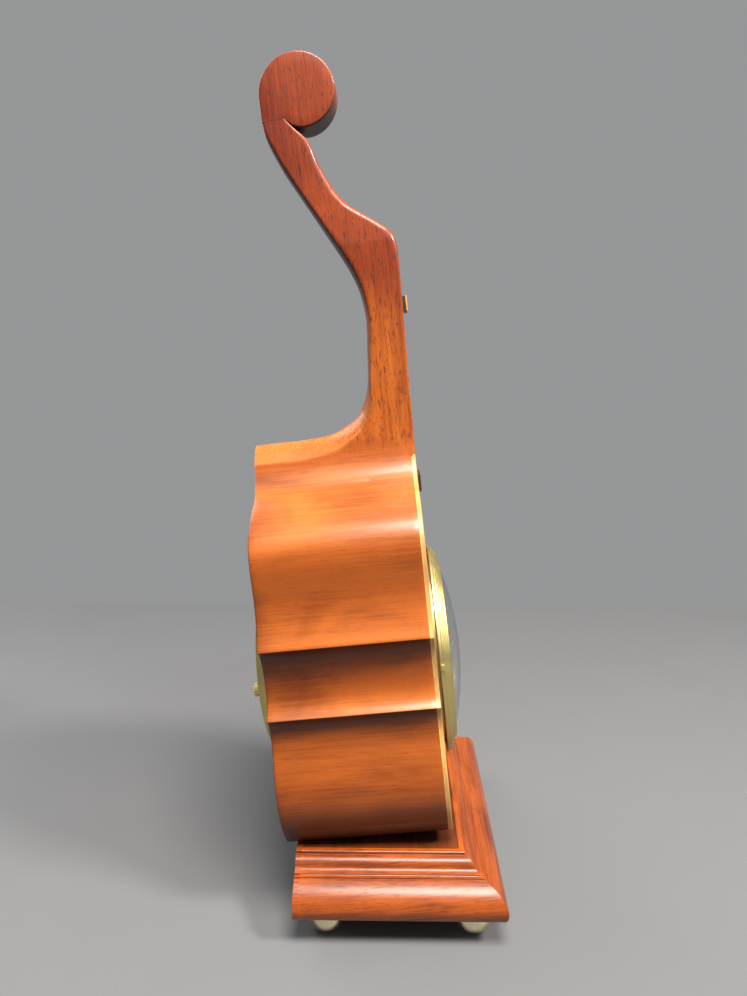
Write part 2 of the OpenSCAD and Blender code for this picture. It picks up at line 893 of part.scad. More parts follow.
module pillars() {
  leaning()
    color(brass)
      for (a = pillar_angles) {
        x = pillar_ring * cos(a);
        z = pillar_ring * sin(a);
        disc(plate_f1, plate_b0, pillar_r - 0.5, 1.2, x, z);
        disc(plate_f1, plate_f1 + 4, pillar_r, 1.2, x, z);
        disc(plate_b0 - 4, plate_b0, pillar_r, 1.2, x, z);
        disc((plate_f1 + plate_b0) / 2 - 1, (plate_f1 + plate_b0) / 2 + 1, pillar_r, 1.2, x, z);
      }
}

// A long screw through each pillar, with its head behind the back plate.
module pillar_screws() {
  leaning()
    color(steel)
      for (a = pillar_angles) {
        x = pillar_ring * cos(a);
        z = pillar_ring * sin(a);
        disc(plate_f0, plate_b1, 1.2, 0, x, z);
        difference() {
          disc(plate_b1, plate_b1 + 1.6, 2.4, 0, x, z);
          translate([x - 3, plate_b1 + 1, dial_z + z - 0.3])
            cube([6, 2, 0.6]);
        }
      }
}

// ---------------------------------------------------------------- going train

winding_r = 2;
barrel_r = 13.4;
barrel_wall = 0.8;
great_y0 = -20.6;
great_y1 = -19.2;
barrel_y1 = -5;
cover_y1 = -4.2;
winding_back = 18;
square_w = 2.6;

module barrel() {
  leaning()
    color(brass) {
      difference() {
        wheel(great_t, great_m, 45, great_y0, great_y1, barrel_xy, 0);
        disc(great_y0 - 1, great_y1 + 1, winding_r + running, 0, barrel_xy[0], barrel_xy[1]);
      }
      disc(great_y1, barrel_y1, barrel_r, barrel_r - barrel_wall, barrel_xy[0], barrel_xy[1]);
    }
}

module barrel_cover() {
  leaning()
    color(brass)
      disc(barrel_y1, cover_y1, barrel_r, winding_r + running, barrel_xy[0], barrel_xy[1]);
}

// A spiral strip of even thickness, wound from the barrel wall towards the arbor.
module spiral_2d(r0, r1, turns, t, per_turn = 24) {
  n = round(turns * per_turn);
  function at(i, w) = (r0 + (r1 - r0) * i / n + w) * [cos(360 * turns * i / n), sin(360 * turns * i / n)];
  polygon(concat(
    [for (i = [0 : n]) at(i, t / 2)],
    [for (i = [n : -1 : 0]) at(i, -t / 2)]
  ));
}

module mainspring() {
  leaning()
    color(steel)
      facing(barrel_y1 - 1, barrel_xy[0], dial_z + barrel_xy[1])
        linear_extrude(height = barrel_y1 - great_y1 - 2)
          spiral_2d(barrel_r - barrel_wall - 0.3, 4.6, 7, 0.45);
}

module winding_arbor() {
  leaning()
    color(steel) {
      arbor(plate_f0 + 0.2, winding_back - 8, barrel_xy, winding_r);
      translate([barrel_xy[0] - square_w / 2, winding_back - 8.5, dial_z + barrel_xy[1] - square_w / 2])
        cube([square_w, 8.5, square_w]);
    }
}

// The winding ratchet, with saw teeth that the click holds.
ratchet_t = 24;
ratchet_r = 7;
ratchet_y0 = plate_b1 + 0.6;
ratchet_y1 = ratchet_y0 + 1.4;

module ratchet_wheel() {
  low = ratchet_r - 0.9;
  leaning()
    color(steel)
      facing(ratchet_y1, barrel_xy[0], dial_z + barrel_xy[1])
        linear_extrude(height = ratchet_y1 - ratchet_y0)
          difference() {
            polygon([
              for (i = [0 : ratchet_t - 1])
                let (a = 360 * i / ratchet_t)
                for (p = [[low, 0], [ratchet_r, 13], [ratchet_r, 14.4]])
                  [p[0] * cos(a + p[1]), p[0] * sin(a + p[1])]
            ]);
            circle(r = winding_r, $fn = round_fn);
          }
}

click_r = 1.5;

// The click turns on its own screw and is drawn lifted just clear of the ratchet's teeth.
module click() {
  leaning()
    color(steel) {
      disc(plate_b0, ratchet_y1 - 0.1, 0.75, 0, click_xy[0], click_xy[1]);
      disc(ratchet_y1 - 0.1, ratchet_y1 + 0.8, click_r - 0.3, 0, click_xy[0], click_xy[1]);
      facing(ratchet_y1, click_xy[0], dial_z + click_xy[1])
        linear_extrude(height = ratchet_y1 - ratchet_y0)
          rotate(150) {
            circle(r = click_r, $fn = round_fn);
            polygon([[0, -1.5], [4.6, 1.5], [5.4, 2.1], [5.2, 2.5], [4, 2.4], [0, 1.5]]);
          }
    }
}

module click_spring() {
  leaning()
    color(steel)
      facing(ratchet_y1, click_xy[0], dial_z + click_xy[1])
        linear_extrude(height = ratchet_y1 - plate_b1)
          rotate(150) {
            translate([-1.5, -4.6])
              circle(r = 1.3, $fn = round_fn);
            translate([-1.5, -4.9])
              square([7, 0.6]);
          }
}

module centre_wheel() {
  leaning()
    color(brass) {
      wheel(centre_t, centre_m, third_angle, -3.2, -2.2, centre_xy);
      pinion(centre_p, great_m, great_angle, -21.4, -18.4, centre_xy);
      arbor(-33.2, 1.4, centre_xy);
      pivots(1, plate_b1, centre_xy);
    }
}

module third_wheel() {
  leaning()
    color(brass) {
      wheel(third_t, third_m, fourth_angle, -12, -11, third_xy);
      pinion(small_p, centre_m, third_angle + 180, -4.2, -1.2, third_xy);
      arbor(plate_f1 + 0.4, plate_b0 - 0.4, third_xy, 0.9);
      pivots(plate_f0, plate_b1, third_xy);
    }
}

module fourth_wheel() {
  leaning()
    color(brass) {
      wheel(fourth_t, fourth_m, escape_angle, -7, -6.2, fourth_xy);
      pinion(small_p, third_m, fourth_angle + 180, -13, -10, fourth_xy);
      arbor(plate_f1 + 0.4, plate_b0 - 0.4, fourth_xy, 0.8);
      pivots(plate_f0, plate_b1, fourth_xy);
    }
}

escape_r = 5.2;
lever_y0 = -0.7;
lever_y1 = 0.2;

// Club teeth on thin arms.
module escape_wheel() {
  leaning()
    color(steel) {
      facing(lever_y1, escape_xy[0], dial_z + escape_xy[1])
        linear_extrude(height = lever_y1 - lever_y0)
          difference() {
            polygon([
              for (i = [0 : escape_t - 1])
                let (a = 360 * i / escape_t)
                for (p = [[escape_r - 1.5, 0], [escape_r - 1.4, 9], [escape_r - 0.1, 13],
                          [escape_r, 17], [escape_r - 1.3, 20]])
                  [p[0] * cos(a + p[1]), p[0] * sin(a + p[1])]
            ]);
            difference() {
              circle(r = escape_r - 2.1, $fn = round_fn);
              circle(r = 1.3, $fn = round_fn);
              for (a = [0, 90])
                rotate(a)
                  square([2 * escape_r, 0.7], center = true);
            }
          }
      pinion(small_p, fourth_m, escape_angle + 180, -7.9, -5.3, escape_xy);
      arbor(plate_f1 + 0.4, plate_b0 - 0.4, escape_xy, 0.62);
      disc(plate_f0, plate_b1, 0.6, 0, escape_xy[0], escape_xy[1]);
    }
}

// The lever between the escape wheel and the balance, with two pallets and a fork. The pallets
// stand just outside the circle of the wheel's tips.
module pallet_lever() {
  to_wheel = atan2(escape_xy[1] - pallet_xy[1], escape_xy[0] - pallet_xy[0]);
  to_balance = atan2(balance_xy[1] - pallet_xy[1], balance_xy[0] - pallet_xy[0]);
  leaning()
    color(steel) {
      facing(lever_y1, pallet_xy[0], dial_z + pallet_xy[1])
        linear_extrude(height = lever_y1 - lever_y0) {
          circle(r = 1.1, $fn = round_fn);
          rotate(to_wheel)
            difference() {
              polygon([[-1, -1], [0.5, -3.9], [3.1, -5.2], [3.7, -4.4], [1.4, -2.9], [0.8, 0],
                       [1.4, 2.9], [3.7, 4.4], [3.1, 5.2], [0.5, 3.9], [-1, 1]]);
              translate([7.4, 0])
                circle(r = escape_r + 0.45, $fn = fine);
            }
          rotate(to_balance)
            difference() {
              translate([0, -0.45])
                square([5.4, 0.9]);
              translate([4.6, -0.2])
                square([2, 0.4]);
            }
        }
      disc(lever_y0 - 2, plate_b0 - 0.4, 0.8, 0, pallet_xy[0], pallet_xy[1]);
      disc(lever_y0 - 2, plate_b1, pivot_r, 0, pallet_xy[0], pallet_xy[1]);
    }
}

// ---------------------------------------------------------------- balance

staff_r = 0.7;
balance_y0 = 6.4;
balance_y1 = 7.6;
balance_r = 7.6;
spring_y0 = 9;
spring_y1 = 9.5;
cock_y0 = 11.2;
cock_y1 = 12.8;

// A plain three-armed balance with a roller inside the back plate.
module balance() {
  leaning()
    color(brass) {
      facing(balance_y1, balance_xy[0], dial_z + balance_xy[1])
        linear_extrude(height = balance_y1 - balance_y0) {
          difference() {
            circle(r = balance_r, $fn = fine);
            circle(r = balance_r - 1.1, $fn = fine);
          }
          circle(r = 1.6, $fn = round_fn);
          for (a = [90, 210, 330])
            rotate(a)
              translate([0, -0.4])
                square([balance_r - 0.5, 0.8]);
        }
      for (i = [0 : 11])
        rotate_about(balance_xy, 30 * i + 15)
          translate([balance_r - 0.2, (balance_y0 + balance_y1) / 2, 0])
            rotate([0, 90, 0])
              cylinder(h = 0.9, r = 0.4, $fn = 16);
      disc(lever_y0 - 1.6, spring_y1 + 1.1, staff_r, 0, balance_xy[0], balance_xy[1]);
      disc(spring_y1 + 1.1, cock_y1 - 0.4, 0.35, 0, balance_xy[0], balance_xy[1]);
      disc(lever_y0, lever_y1, 1.7, 0, balance_xy[0], balance_xy[1]);
    }
}

module rotate_about(xy, angle) {
  translate([xy[0], 0, dial_z + xy[1]])
    rotate([0, angle, 0])
      children();
}

module hairspring() {
  leaning()
    color(steel)
      facing(spring_y1, balance_xy[0], dial_z + balance_xy[1])
        linear_extrude(height = spring_y1 - spring_y0)
          union() {
            spiral_2d(4.6, 1.15, 7, 0.12);
            difference() {
              circle(r = 1.25, $fn = round_fn);
              circle(r = staff_r, $fn = round_fn);
            }
          }
}

// The cock that carries the back pivot of the balance, on a foot screwed to the plate.
module balance_cock() {
  foot = beyond(balance_xy, 12.4, 205);
  leaning()
    color(brass)
      difference() {
        union() {
          disc(plate_b1, cock_y1, 2.6, 0, foot[0], foot[1]);
          facing(cock_y1, balance_xy[0], dial_z + balance_xy[1])
            linear_extrude(height = cock_y1 - cock_y0)
              rotate(205)
                polygon(concat(
                  arc_points(0, 0, 3.2, 90, -90, 12),
                  arc_points(12.4, 0, 2.6, -90, 90, 8)
                ));
          disc(cock_y0, cock_y1, 3.2, 0, balance_xy[0], balance_xy[1]);
        }
        disc(cock_y0 - 1, cock_y1 + 1, 0.35 + running, 0, balance_xy[0], balance_xy[1]);
      }
}

// The regulator turns on the cock's boss and points over the back plate.
module regulator() {
  leaning()
    color(steel)
      difference() {
        facing(cock_y1 + 1, balance_xy[0], dial_z + balance_xy[1])
          linear_extrude(height = 0.7)
            rotate(60) {
              circle(r = 2, $fn = round_fn);
              polygon([[0, -1.4], [9, -0.4], [10.4, 0], [9, 0.4], [0, 1.4]]);
            }
        disc(cock_y0, cock_y1 + 2, 0.8, 0, balance_xy[0], balance_xy[1]);
      }
}

// ---------------------------------------------------------------- hands and motion work

cannon_t = 12;
minute_t = 36;
minute_p = 10;
hour_t = 40;
motion_m = 0.5;
motion_m2 = motion_m * (cannon_t + minute_t) / (minute_p + hour_t);
stud_angle = 300;
stud_xy = beyond(centre_xy, motion_m * (cannon_t + minute_t) / 2, stud_angle);
stud_r = 0.8;
cannon_r = 1.65;
cannon_front = -33.4;
hour_pipe_r = 2.2;
hour_pipe_front = -31.5;
hour_angle = 305;
minute_angle = 60;

module cannon_pinion() {
  leaning()
    color(steel)
      difference() {
        union() {
          pinion(cannon_t, motion_m, stud_angle, -26.3, -24.5, centre_xy);
          disc(cannon_front, -24.5, cannon_r);
        }
        disc(cannon_front - 1, -24, arbor_r + running);
      }
}

module minute_stud() {
  leaning()
    color(steel)
      disc(-28.3, plate_f0, stud_r, 0, stud_xy[0], stud_xy[1]);
}

module minute_wheel() {
  leaning()
    color(brass)
      difference() {
        union() {
          wheel(minute_t, motion_m, stud_angle + 180, -26.1, -25.1, stud_xy, 0);
          pinion(minute_p, motion_m2, stud_angle + 180, -28.1, -26.1, stud_xy);
        }
        disc(-29, -24, stud_r + running, 0, stud_xy[0], stud_xy[1]);
      }
}

module hour_wheel() {
  leaning()
    color(brass)
      difference() {
        union() {
          wheel(hour_t, motion_m2, stud_angle, -27.8, -27, centre_xy, 0);
          disc(hour_pipe_front, -27, hour_pipe_r);
        }
        disc(hour_pipe_front - 1, -26, cannon_r + 0.08);
      }
}

// The blade of a spade hand, pointing up from the middle of the dial.
module hand_blade(length, spade) {
  waist = length * 0.62;
  polygon(concat(
    [[-0.75, 0], [-0.5, waist]],
    curve([-0.5, waist + 0.2], [-spade, length * 0.66], [-spade, length * 0.82], [0, length]),
    curve([0, length], [spade, length * 0.82], [spade, length * 0.66], [0.5, waist + 0.2]),
    [[0.5, waist], [0.75, 0]]
  ));
}

// A hand pressed on a pipe: its hub, its blade and the bore through both.
module hand(y0, length, hub, spade, bore, angle) {
  hand_t = 0.6;
  leaning()
    color([0.12, 0.12, 0.18])
      difference() {
        union() {
          disc(y0, y0 + hand_t, hub);
          facing(y0 + hand_t, 0, dial_z)
            linear_extrude(height = hand_t)
              rotate(-angle)
                hand_blade(length, spade);
        }
        disc(y0 - 1, y0 + 1 + hand_t, bore);
      }
}

module hour_hand() {
  hand(hour_pipe_front + 0.1, 26, 3.4, 3.6, hour_pipe_r, hour_angle);
}

module minute_hand() {
  hand(cannon_front + 0.2, 38, 2.8, 2.4, cannon_r, minute_angle);
}

module hand_nut() {
  leaning()
    color(brass)
      turned()
        polygon(concat([[0, cannon_front]], [[2, cannon_front]],
          curve([2, cannon_front], [2, cannon_front - 0.8], [1.2, cannon_front - 1.3],
            [0, cannon_front - 1.4], 6),
          [[0, cannon_front - 1.4]]));
}

// ---------------------------------------------------------------- the sub-parts

base_core();
base_moulding_front();
base_moulding_left();
base_moulding_right();
base_back_strip();
foot_front_left();
foot_front_right();
foot_back_left();
foot_back_right();
foot_screws();
seat_wedge();
case_screws();
case_body();
front_board();
edge_stringing();
neck_scroll();
nut();
lower_saddle();
drum_shell();
drum_screws();
bezel_seat();
bezel_ring();
glass();
glass_retainer();
bezel_hinge_pin();
rear_ring();
rear_door();
rear_hinge_pin();
rear_latch();
dial();
dial_feet();
front_plate();
back_plate();
pillars();
pillar_screws();
barrel();
barrel_cover();
mainspring();
winding_arbor();
ratchet_wheel();
click();
click_spring();
centre_wheel();
third_wheel();
fourth_wheel();
escape_wheel();
pallet_lever();
balance();
hairspring();
balance_cock();
regulator();
cannon_pinion();
minute_stud();
minute_wheel();
hour_wheel();
hour_hand();
minute_hand();
hand_nut();
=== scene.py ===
"""A cello-shaped shelf timepiece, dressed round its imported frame.

The wood, brass, glass, dial and movement get their fine shapes and finishes here.
"""

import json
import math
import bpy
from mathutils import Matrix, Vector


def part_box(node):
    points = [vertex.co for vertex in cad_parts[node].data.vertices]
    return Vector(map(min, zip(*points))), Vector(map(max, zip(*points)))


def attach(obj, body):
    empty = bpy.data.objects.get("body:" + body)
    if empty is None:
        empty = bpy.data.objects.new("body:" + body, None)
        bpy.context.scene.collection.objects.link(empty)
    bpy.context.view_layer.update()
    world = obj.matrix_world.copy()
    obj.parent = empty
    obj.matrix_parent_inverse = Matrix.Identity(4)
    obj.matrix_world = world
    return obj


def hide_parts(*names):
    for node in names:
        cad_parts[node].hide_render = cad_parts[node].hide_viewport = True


bl_info = {
    "name": "Cello Shelf Timepiece",
    "version": (1, 0, 0),
    "blender": (4, 5, 0),
    "location": "View3D > Sidebar > Timepiece",
    "description": "Builds the case, doors, dial and finishes of a cello-shaped shelf timepiece",
    "category": "Add Mesh",
}

import bmesh
import bpy
from mathutils import Matrix, Vector, geometry

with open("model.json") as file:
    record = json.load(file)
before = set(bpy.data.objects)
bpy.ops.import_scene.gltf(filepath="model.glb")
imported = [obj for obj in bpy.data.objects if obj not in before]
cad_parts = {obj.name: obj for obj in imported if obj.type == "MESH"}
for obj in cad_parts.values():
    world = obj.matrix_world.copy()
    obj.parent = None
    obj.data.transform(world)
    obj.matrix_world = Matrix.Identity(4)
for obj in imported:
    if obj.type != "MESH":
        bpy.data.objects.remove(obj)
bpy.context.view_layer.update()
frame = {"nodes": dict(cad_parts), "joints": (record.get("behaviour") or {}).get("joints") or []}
NODES = frame["nodes"]
MM = 0.001
SAME_PLACE = 1e-6                 # points closer than this, in metres, are one point

# ---------------------------------------------------------------- the leaning case's own frame

DIAL_Z = 98.0                     # height of the dial's middle in the leaning frame, in mm
HAND_Y = -30.0                    # where the minute joint is stated, in mm
SHOULDER_Z = 203.0                # where the shoulder turns into the neck, in mm
JOINTS = {joint["name"]: joint for joint in frame["joints"]}
BACK = Vector(JOINTS["minute_hand_turns"]["axis"])
RISE = Vector((0, -BACK.z, BACK.y))
LEAN = math.atan2(-BACK.z, BACK.y)
ORIGIN = Vector(JOINTS["minute_hand_turns"]["pos_m"]) - MM * (HAND_Y * BACK + DIAL_Z * RISE)
GRAIN_TURN = ORIGIN.dot(RISE) + SHOULDER_Z * MM


def leaning(p):
    """A point given in the leaning case's millimetres, in the row frame."""
    return ORIGIN + MM * (Vector((p[0], 0, 0)) + p[1] * BACK + p[2] * RISE)


def upright(p):
    """A point given in upright millimetres over the shelf, in the row frame."""
    return MM * Vector(p)


# ---------------------------------------------------------------- points and meshes

def curve(a, b, c, d, n):
    """A cubic curve from a to d with handles b and c, without its last point."""
    out = []
    for i in range(n):
        t, s = i / n, 1 - i / n
        out.append(tuple(s**3 * a[k] + 3 * s * s * t * b[k] + 3 * s * t * t * c[k] + t**3 * d[k]
                         for k in range(len(a))))
    return out


def part_way(a, b, t):
    """The number that lies a share t of the way from a to b."""
    return a + (b - a) * t


def mix(a, b, t):
    """The point that lies a share t of the way from a to b."""
    return tuple(part_way(x, y, t) for x, y in zip(a, b))


def at_depth(y, outline):
    """A flat (x, z) outline stood at a depth."""
    return [(x, y, z) for x, z in outline]


def rounding(turn):
    """How far in and how far down a rounded edge of radius 1 is after so many degrees."""
    a = math.radians(turn)
    return 1 - math.sin(a), 1 - math.cos(a)


def around(sides):
    """The cosine and sine of each step of a full turn."""
    return [(math.cos(math.tau * i / sides), math.sin(math.tau * i / sides))
            for i in range(sides)]


def smoothed(points, rounds):
    """The same line with its corners eased and its ends kept."""
    for _ in range(rounds):
        eased = [mix(points[i], mix(points[i - 1], points[i + 1], 0.5), 0.5)
                 for i in range(1, len(points) - 1)]
        points = [points[0]] + eased + [points[-1]]
    return points


def inset(points, distance, closed=True):
    """Each point of an anticlockwise outline moved inwards."""
    out, n = [], len(points)
    for i, p in enumerate(points):
        a = points[i - 1] if closed or i > 0 else p
        b = points[(i + 1) % n] if closed or i < n - 1 else p
        run = Vector((b[0] - a[0], b[1] - a[1])).normalized()
        out.append((p[0] - run.y * distance, p[1] + run.x * distance))
    return untangled(out)


def untangled(points):
    """Lays a line that crosses itself at a tip out again through the place where it crosses."""
    reach = 30                    # the most points that the loop at a tip can hold
    out, i = [Vector(p) for p in points], 0
    while i < len(out) - 3:
        for j in range(min(len(out) - 2, i + reach), i + 1, -1):
            tip = geometry.intersect_line_line_2d(out[i], out[i + 1], out[j], out[j + 1])
            if tip:
                before, after, half = out[i].copy(), out[j + 1].copy(), (j + 1 - i) / 2
                for k in range(i + 1, j + 1):
                    way = (k - i) / half
                    out[k] = before.lerp(tip, way) if way < 1 else tip.lerp(after, way - 1)
                i = j
                break
        i += 1
    return [tuple(p) for p in out]


class Shape:
    """Points and faces gathered in millimetres before they become one mesh."""

    def __init__(self):
        self.points, self.faces = [], []

    def add(self, points, faces):
        first = len(self.points)
        self.points += points
        self.faces += [[i + first for i in face] for face in faces]
        return self

    def grid(self, rows, wrap_rows=False, wrap_points=True, caps=False):
        """Quads between rows of points of equal length."""
        n, m = len(rows[0]), len(rows)
        faces = []
        for j in range(m if wrap_rows else m - 1):
            for i in range(n if wrap_points else n - 1):
                a, b = j * n + i, j * n + (i + 1) % n
                c, d = ((j + 1) % m) * n + (i + 1) % n, ((j + 1) % m) * n + i
                faces.append([a, b, c, d])
        if caps:
            faces.append(list(range(n)))
            faces.append(list(range((m - 1) * n, m * n)))
        return self.add([p for row in rows for p in row], faces)

    def turned(self, profile, sides, closed=True):
        """A profile of (radius, y) turned about the dial's axis."""
        rows = [[(r * c, y, DIAL_Z + r * s) for r, y in profile] for c, s in around(sides)]
        return self.grid(rows, wrap_rows=True, wrap_points=closed)

    def post(self, profile, middle, sides):
        """A profile of (radius, z) turned about an upright axis."""
        x, y = middle
        rows = [[(x + r * c, y + r * s, z) for r, z in profile] for c, s in around(sides)]
        return self.grid(rows, wrap_rows=True)

    def slab(self, outline, y0, y1):
        """A flat (x, z) outline between two depths."""
        return self.grid([at_depth(y, outline) for y in (y0, y1)], caps=True)

    def block(self, low, high, ease):
        """A box with eased edges."""
        rows = []
        for z, e in ((low[2], ease), (low[2] + ease, 0), (high[2] - ease, 0), (high[2], ease)):
            x0, y0, x1, y1 = low[0] + e, low[1] + e, high[0] - e, high[1] - e
            cut = ease * 0.7
            rows.append([(x0 + cut, y0, z), (x1 - cut, y0, z), (x1, y0 + cut, z),
                         (x1, y1 - cut, z), (x1 - cut, y1, z), (x0 + cut, y1, z),
                         (x0, y1 - cut, z), (x0, y0 + cut, z)])
        return self.grid(rows, caps=True)

    def piece(self, name, finish, body, slot, replaces=(), place=leaning, crease=32):
        """Makes the mesh, finishes it and hangs it on its body."""
        mesh = bpy.data.meshes.new(name)
        mesh.from_pydata([place(p) for p in self.points], [], self.faces)
        work = bmesh.new()
        work.from_mesh(mesh)
        bmesh.ops.remove_doubles(work, verts=work.verts, dist=SAME_PLACE)
        bmesh.ops.dissolve_degenerate(work, edges=work.edges, dist=SAME_PLACE)
        bmesh.ops.recalc_face_normals(work, faces=work.faces)
        work.to_mesh(mesh)
        work.free()
        mesh.polygons.foreach_set("use_smooth", [True] * len(mesh.polygons))
        mesh.set_sharp_from_angle(angle=math.radians(crease))
        thing = bpy.data.objects.new(name, mesh)
        bpy.context.scene.collection.objects.link(thing)
        mesh.materials.append(finish)
        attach(thing, body)
        if replaces:
            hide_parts(*replaces)
        return thing


def dress(finish, *names, ease=0.0):
    """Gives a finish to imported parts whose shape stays, with their sharp edges eased."""
    for name in names:
        node = NODES[name]
        node.data.materials.clear()
        node.data.materials.append(finish)
        if ease:
            weld = node.modifiers.new("weld", "WELD")
            weld.merge_threshold = SAME_PLACE
            bevel = node.modifiers.new("ease", "BEVEL")
            bevel.width = ease * MM
            bevel.segments = 2
            bevel.limit_method = "ANGLE"
            bevel.angle_limit = math.radians(50)
            bevel.harden_normals = True


# ---------------------------------------------------------------- shader helpers

class Value:
    """A number in a shader. Python's operators add its Math nodes."""

    def __init__(self, finish, socket):
        self.finish, self.socket = finish, socket

    def __add__(self, other):
        return self.finish.math("ADD", self, other)

    def __sub__(self, other):
        return self.finish.math("SUBTRACT", self, other)

    def __rsub__(self, other):
        return self.finish.math("SUBTRACT", other, self)

    def __mul__(self, other):
        return self.finish.math("MULTIPLY", self, other)

    __radd__ = __add__
    __rmul__ = __mul__

    def between(self, low, high):
        """0 below low, 1 above high and an eased step from one to the other."""
        node = self.finish.node("ShaderNodeMapRange", {"interpolation_type": "SMOOTHSTEP"},
                                {"Value": self, "From Min": low, "From Max": high})
        return Value(self.finish, node.outputs[0])


class Finish:
    """One material under construction."""

    def __init__(self, name, tint):
        self.material = bpy.data.materials.new(name)
        self.material.use_nodes = True
        self.material.diffuse_color = (*tint, 1)
        self.tree = self.material.node_tree
        self.shader = self.tree.nodes["Principled BSDF"]

    def node(self, kind, settings=None, inputs=None):
        """One node: its settings first, then the values or links of its sockets."""
        node = self.tree.nodes.new(kind)
        for key, value in (settings or {}).items():
            setattr(node, key, value)
        for key, value in (inputs or {}).items():
            self.feed(node.inputs[key], value)
        return node

    def feed(self, socket, value):
        value = getattr(value, "socket", value)
        if isinstance(value, bpy.types.NodeSocket):
            self.tree.links.new(value, socket)
        elif socket.type == "RGBA":
            socket.default_value = (*value[:3], 1)
        else:
            socket.default_value = value

    def math(self, operation, *values):
        node = self.node("ShaderNodeMath", {"operation": operation}, dict(enumerate(values)))
        return Value(self, node.outputs[0])

    def coords(self, stretch=(1, 1, 1), lean=True):
        """Places in metres, turned to the leaning case and then stretched."""
        where = self.node("ShaderNodeTexCoord").outputs["Object"]
        if lean:
            where = self.node("ShaderNodeMapping", None,
                              {"Vector": where, "Rotation": (LEAN, 0, 0)}).outputs[0]
        return self.node("ShaderNodeMapping", None, {"Vector": where, "Scale": stretch}).outputs[0]

    def noise(self, stretch, detail=2.0, rough=0.5, twist=0.0, lean=True):
        node = self.node("ShaderNodeTexNoise", None, {
            "Vector": self.coords(stretch, lean), "Scale": 1.0, "Detail": detail,
            "Roughness": rough, "Distortion": twist})
        return Value(self, node.outputs[0])

    def blend(self, share, a, b, how="MIX"):
        """One colour laid over another by a share."""
        node = self.node("ShaderNodeMix", {"data_type": "RGBA", "blend_type": how},
                         {0: share, 6: a, 7: b})
        return node.outputs[2]

    def bump(self, height, depth, strength=1.0):
        node = self.node("ShaderNodeBump", None, {
            "Height": height, "Distance": depth * MM, "Strength": strength})
        return node.outputs[0]

    def painted_light_by_facing(self, shaded, vertical, painted_top_light):
        """Painted light and shade: a tint for varnish that lightens where a surface faces up and
        darkens where it faces down, as light from above would.
        """
        split = self.node("ShaderNodeSeparateXYZ", None,
                          {0: self.node("ShaderNodeTexCoord").outputs["Normal"]})
        up = Value(self, split.outputs[2])
        tint = self.blend(up.between(-0.6, 0.0), shaded, vertical)
        return self.blend(up.between(0.05, 0.8), tint, painted_top_light)

    def standing_out(self, low, high):
        """How far a surface stands out: low in hollows, high on proud edges that get rubbed."""
        edge = Value(self, self.node("ShaderNodeNewGeometry").outputs["Pointiness"])
        return edge.between(low, high)

    def done(self, inputs):
        for key, value in inputs.items():
            self.feed(self.shader.inputs[key], value)
        return self.material


# ---------------------------------------------------------------- finishes

# Pointiness from which a surface starts to count, and at which it counts in full.
RUBBED_WOOD, RUBBED_BRASS, SUNKEN = (0.53, 0.60), (0.52, 0.62), (0.40, 0.49)
VARNISH = {"Specular IOR Level": 0.25, "IOR": 1.5}


def toned(tint, share):
    """A lighter or darker form of a colour."""
    return tuple(min(1, c * share) for c in tint)


def wood_layer(f, light, dark, along, fleck, mottle):
    """Figured wood with its grain along one axis: its colour, pores and unevenness."""
    def stretch(with_grain, across):
        return tuple(with_grain if axis == along else across for axis in "xyz")
    cloud = f.noise(stretch(14, 26), 3, 0.55, 0.6)
    band = f.noise(stretch(9, 150), 4, 0.6, 0.4)
    line = f.noise(stretch(30, 900), 3, 0.65)
    pore = f.noise(stretch(230, 1500), 2, 0.6)
    streak = 1.5 - mottle
    tone = ((band - 0.5) * (0.8 * streak) + (line - 0.5) * (1.2 * streak)
            + (cloud - 0.5) * (2.4 * mottle) + 0.55)
    colour = f.blend(tone.between(0.1, 0.95), dark, light)
    pores = pore.between(0.55, 0.68) * fleck
    colour = f.blend(pores * 0.75, colour, toned(dark, 0.22))
    return colour, pores, line


def varnished(name, light, dark, along, fleck, gloss, coat, mottle=0.5):
    """Polished wood with rubbed edges and painted shade in its hollows."""
    f = Finish(name, light)
    colour, pores, line = wood_layer(f, light, dark, along, fleck, mottle)
    worn = f.standing_out(*RUBBED_WOOD) * f.noise((60, 60, 60), 3).between(0.35, 0.6)
    colour = f.blend(worn * 0.45, colour, toned(light, 1.8))
    # Painted shade: hollows are darkened as if they were in shadow.
    colour = f.blend((1 - f.standing_out(*SUNKEN)) * 0.85, colour, toned(dark, 0.3))
    dust = f.noise((35, 35, 35), 4, 0.6)
    return f.done({
        "Base Color": colour,
        "Roughness": gloss + dust * 0.12 + pores * 0.15,
        "Normal": f.bump(line * 0.25 - pores, 0.05, 0.5),
        "Coat Weight": coat - pores * 0.3,
        "Coat Roughness": gloss * 0.75,
        **VARNISH,
    })


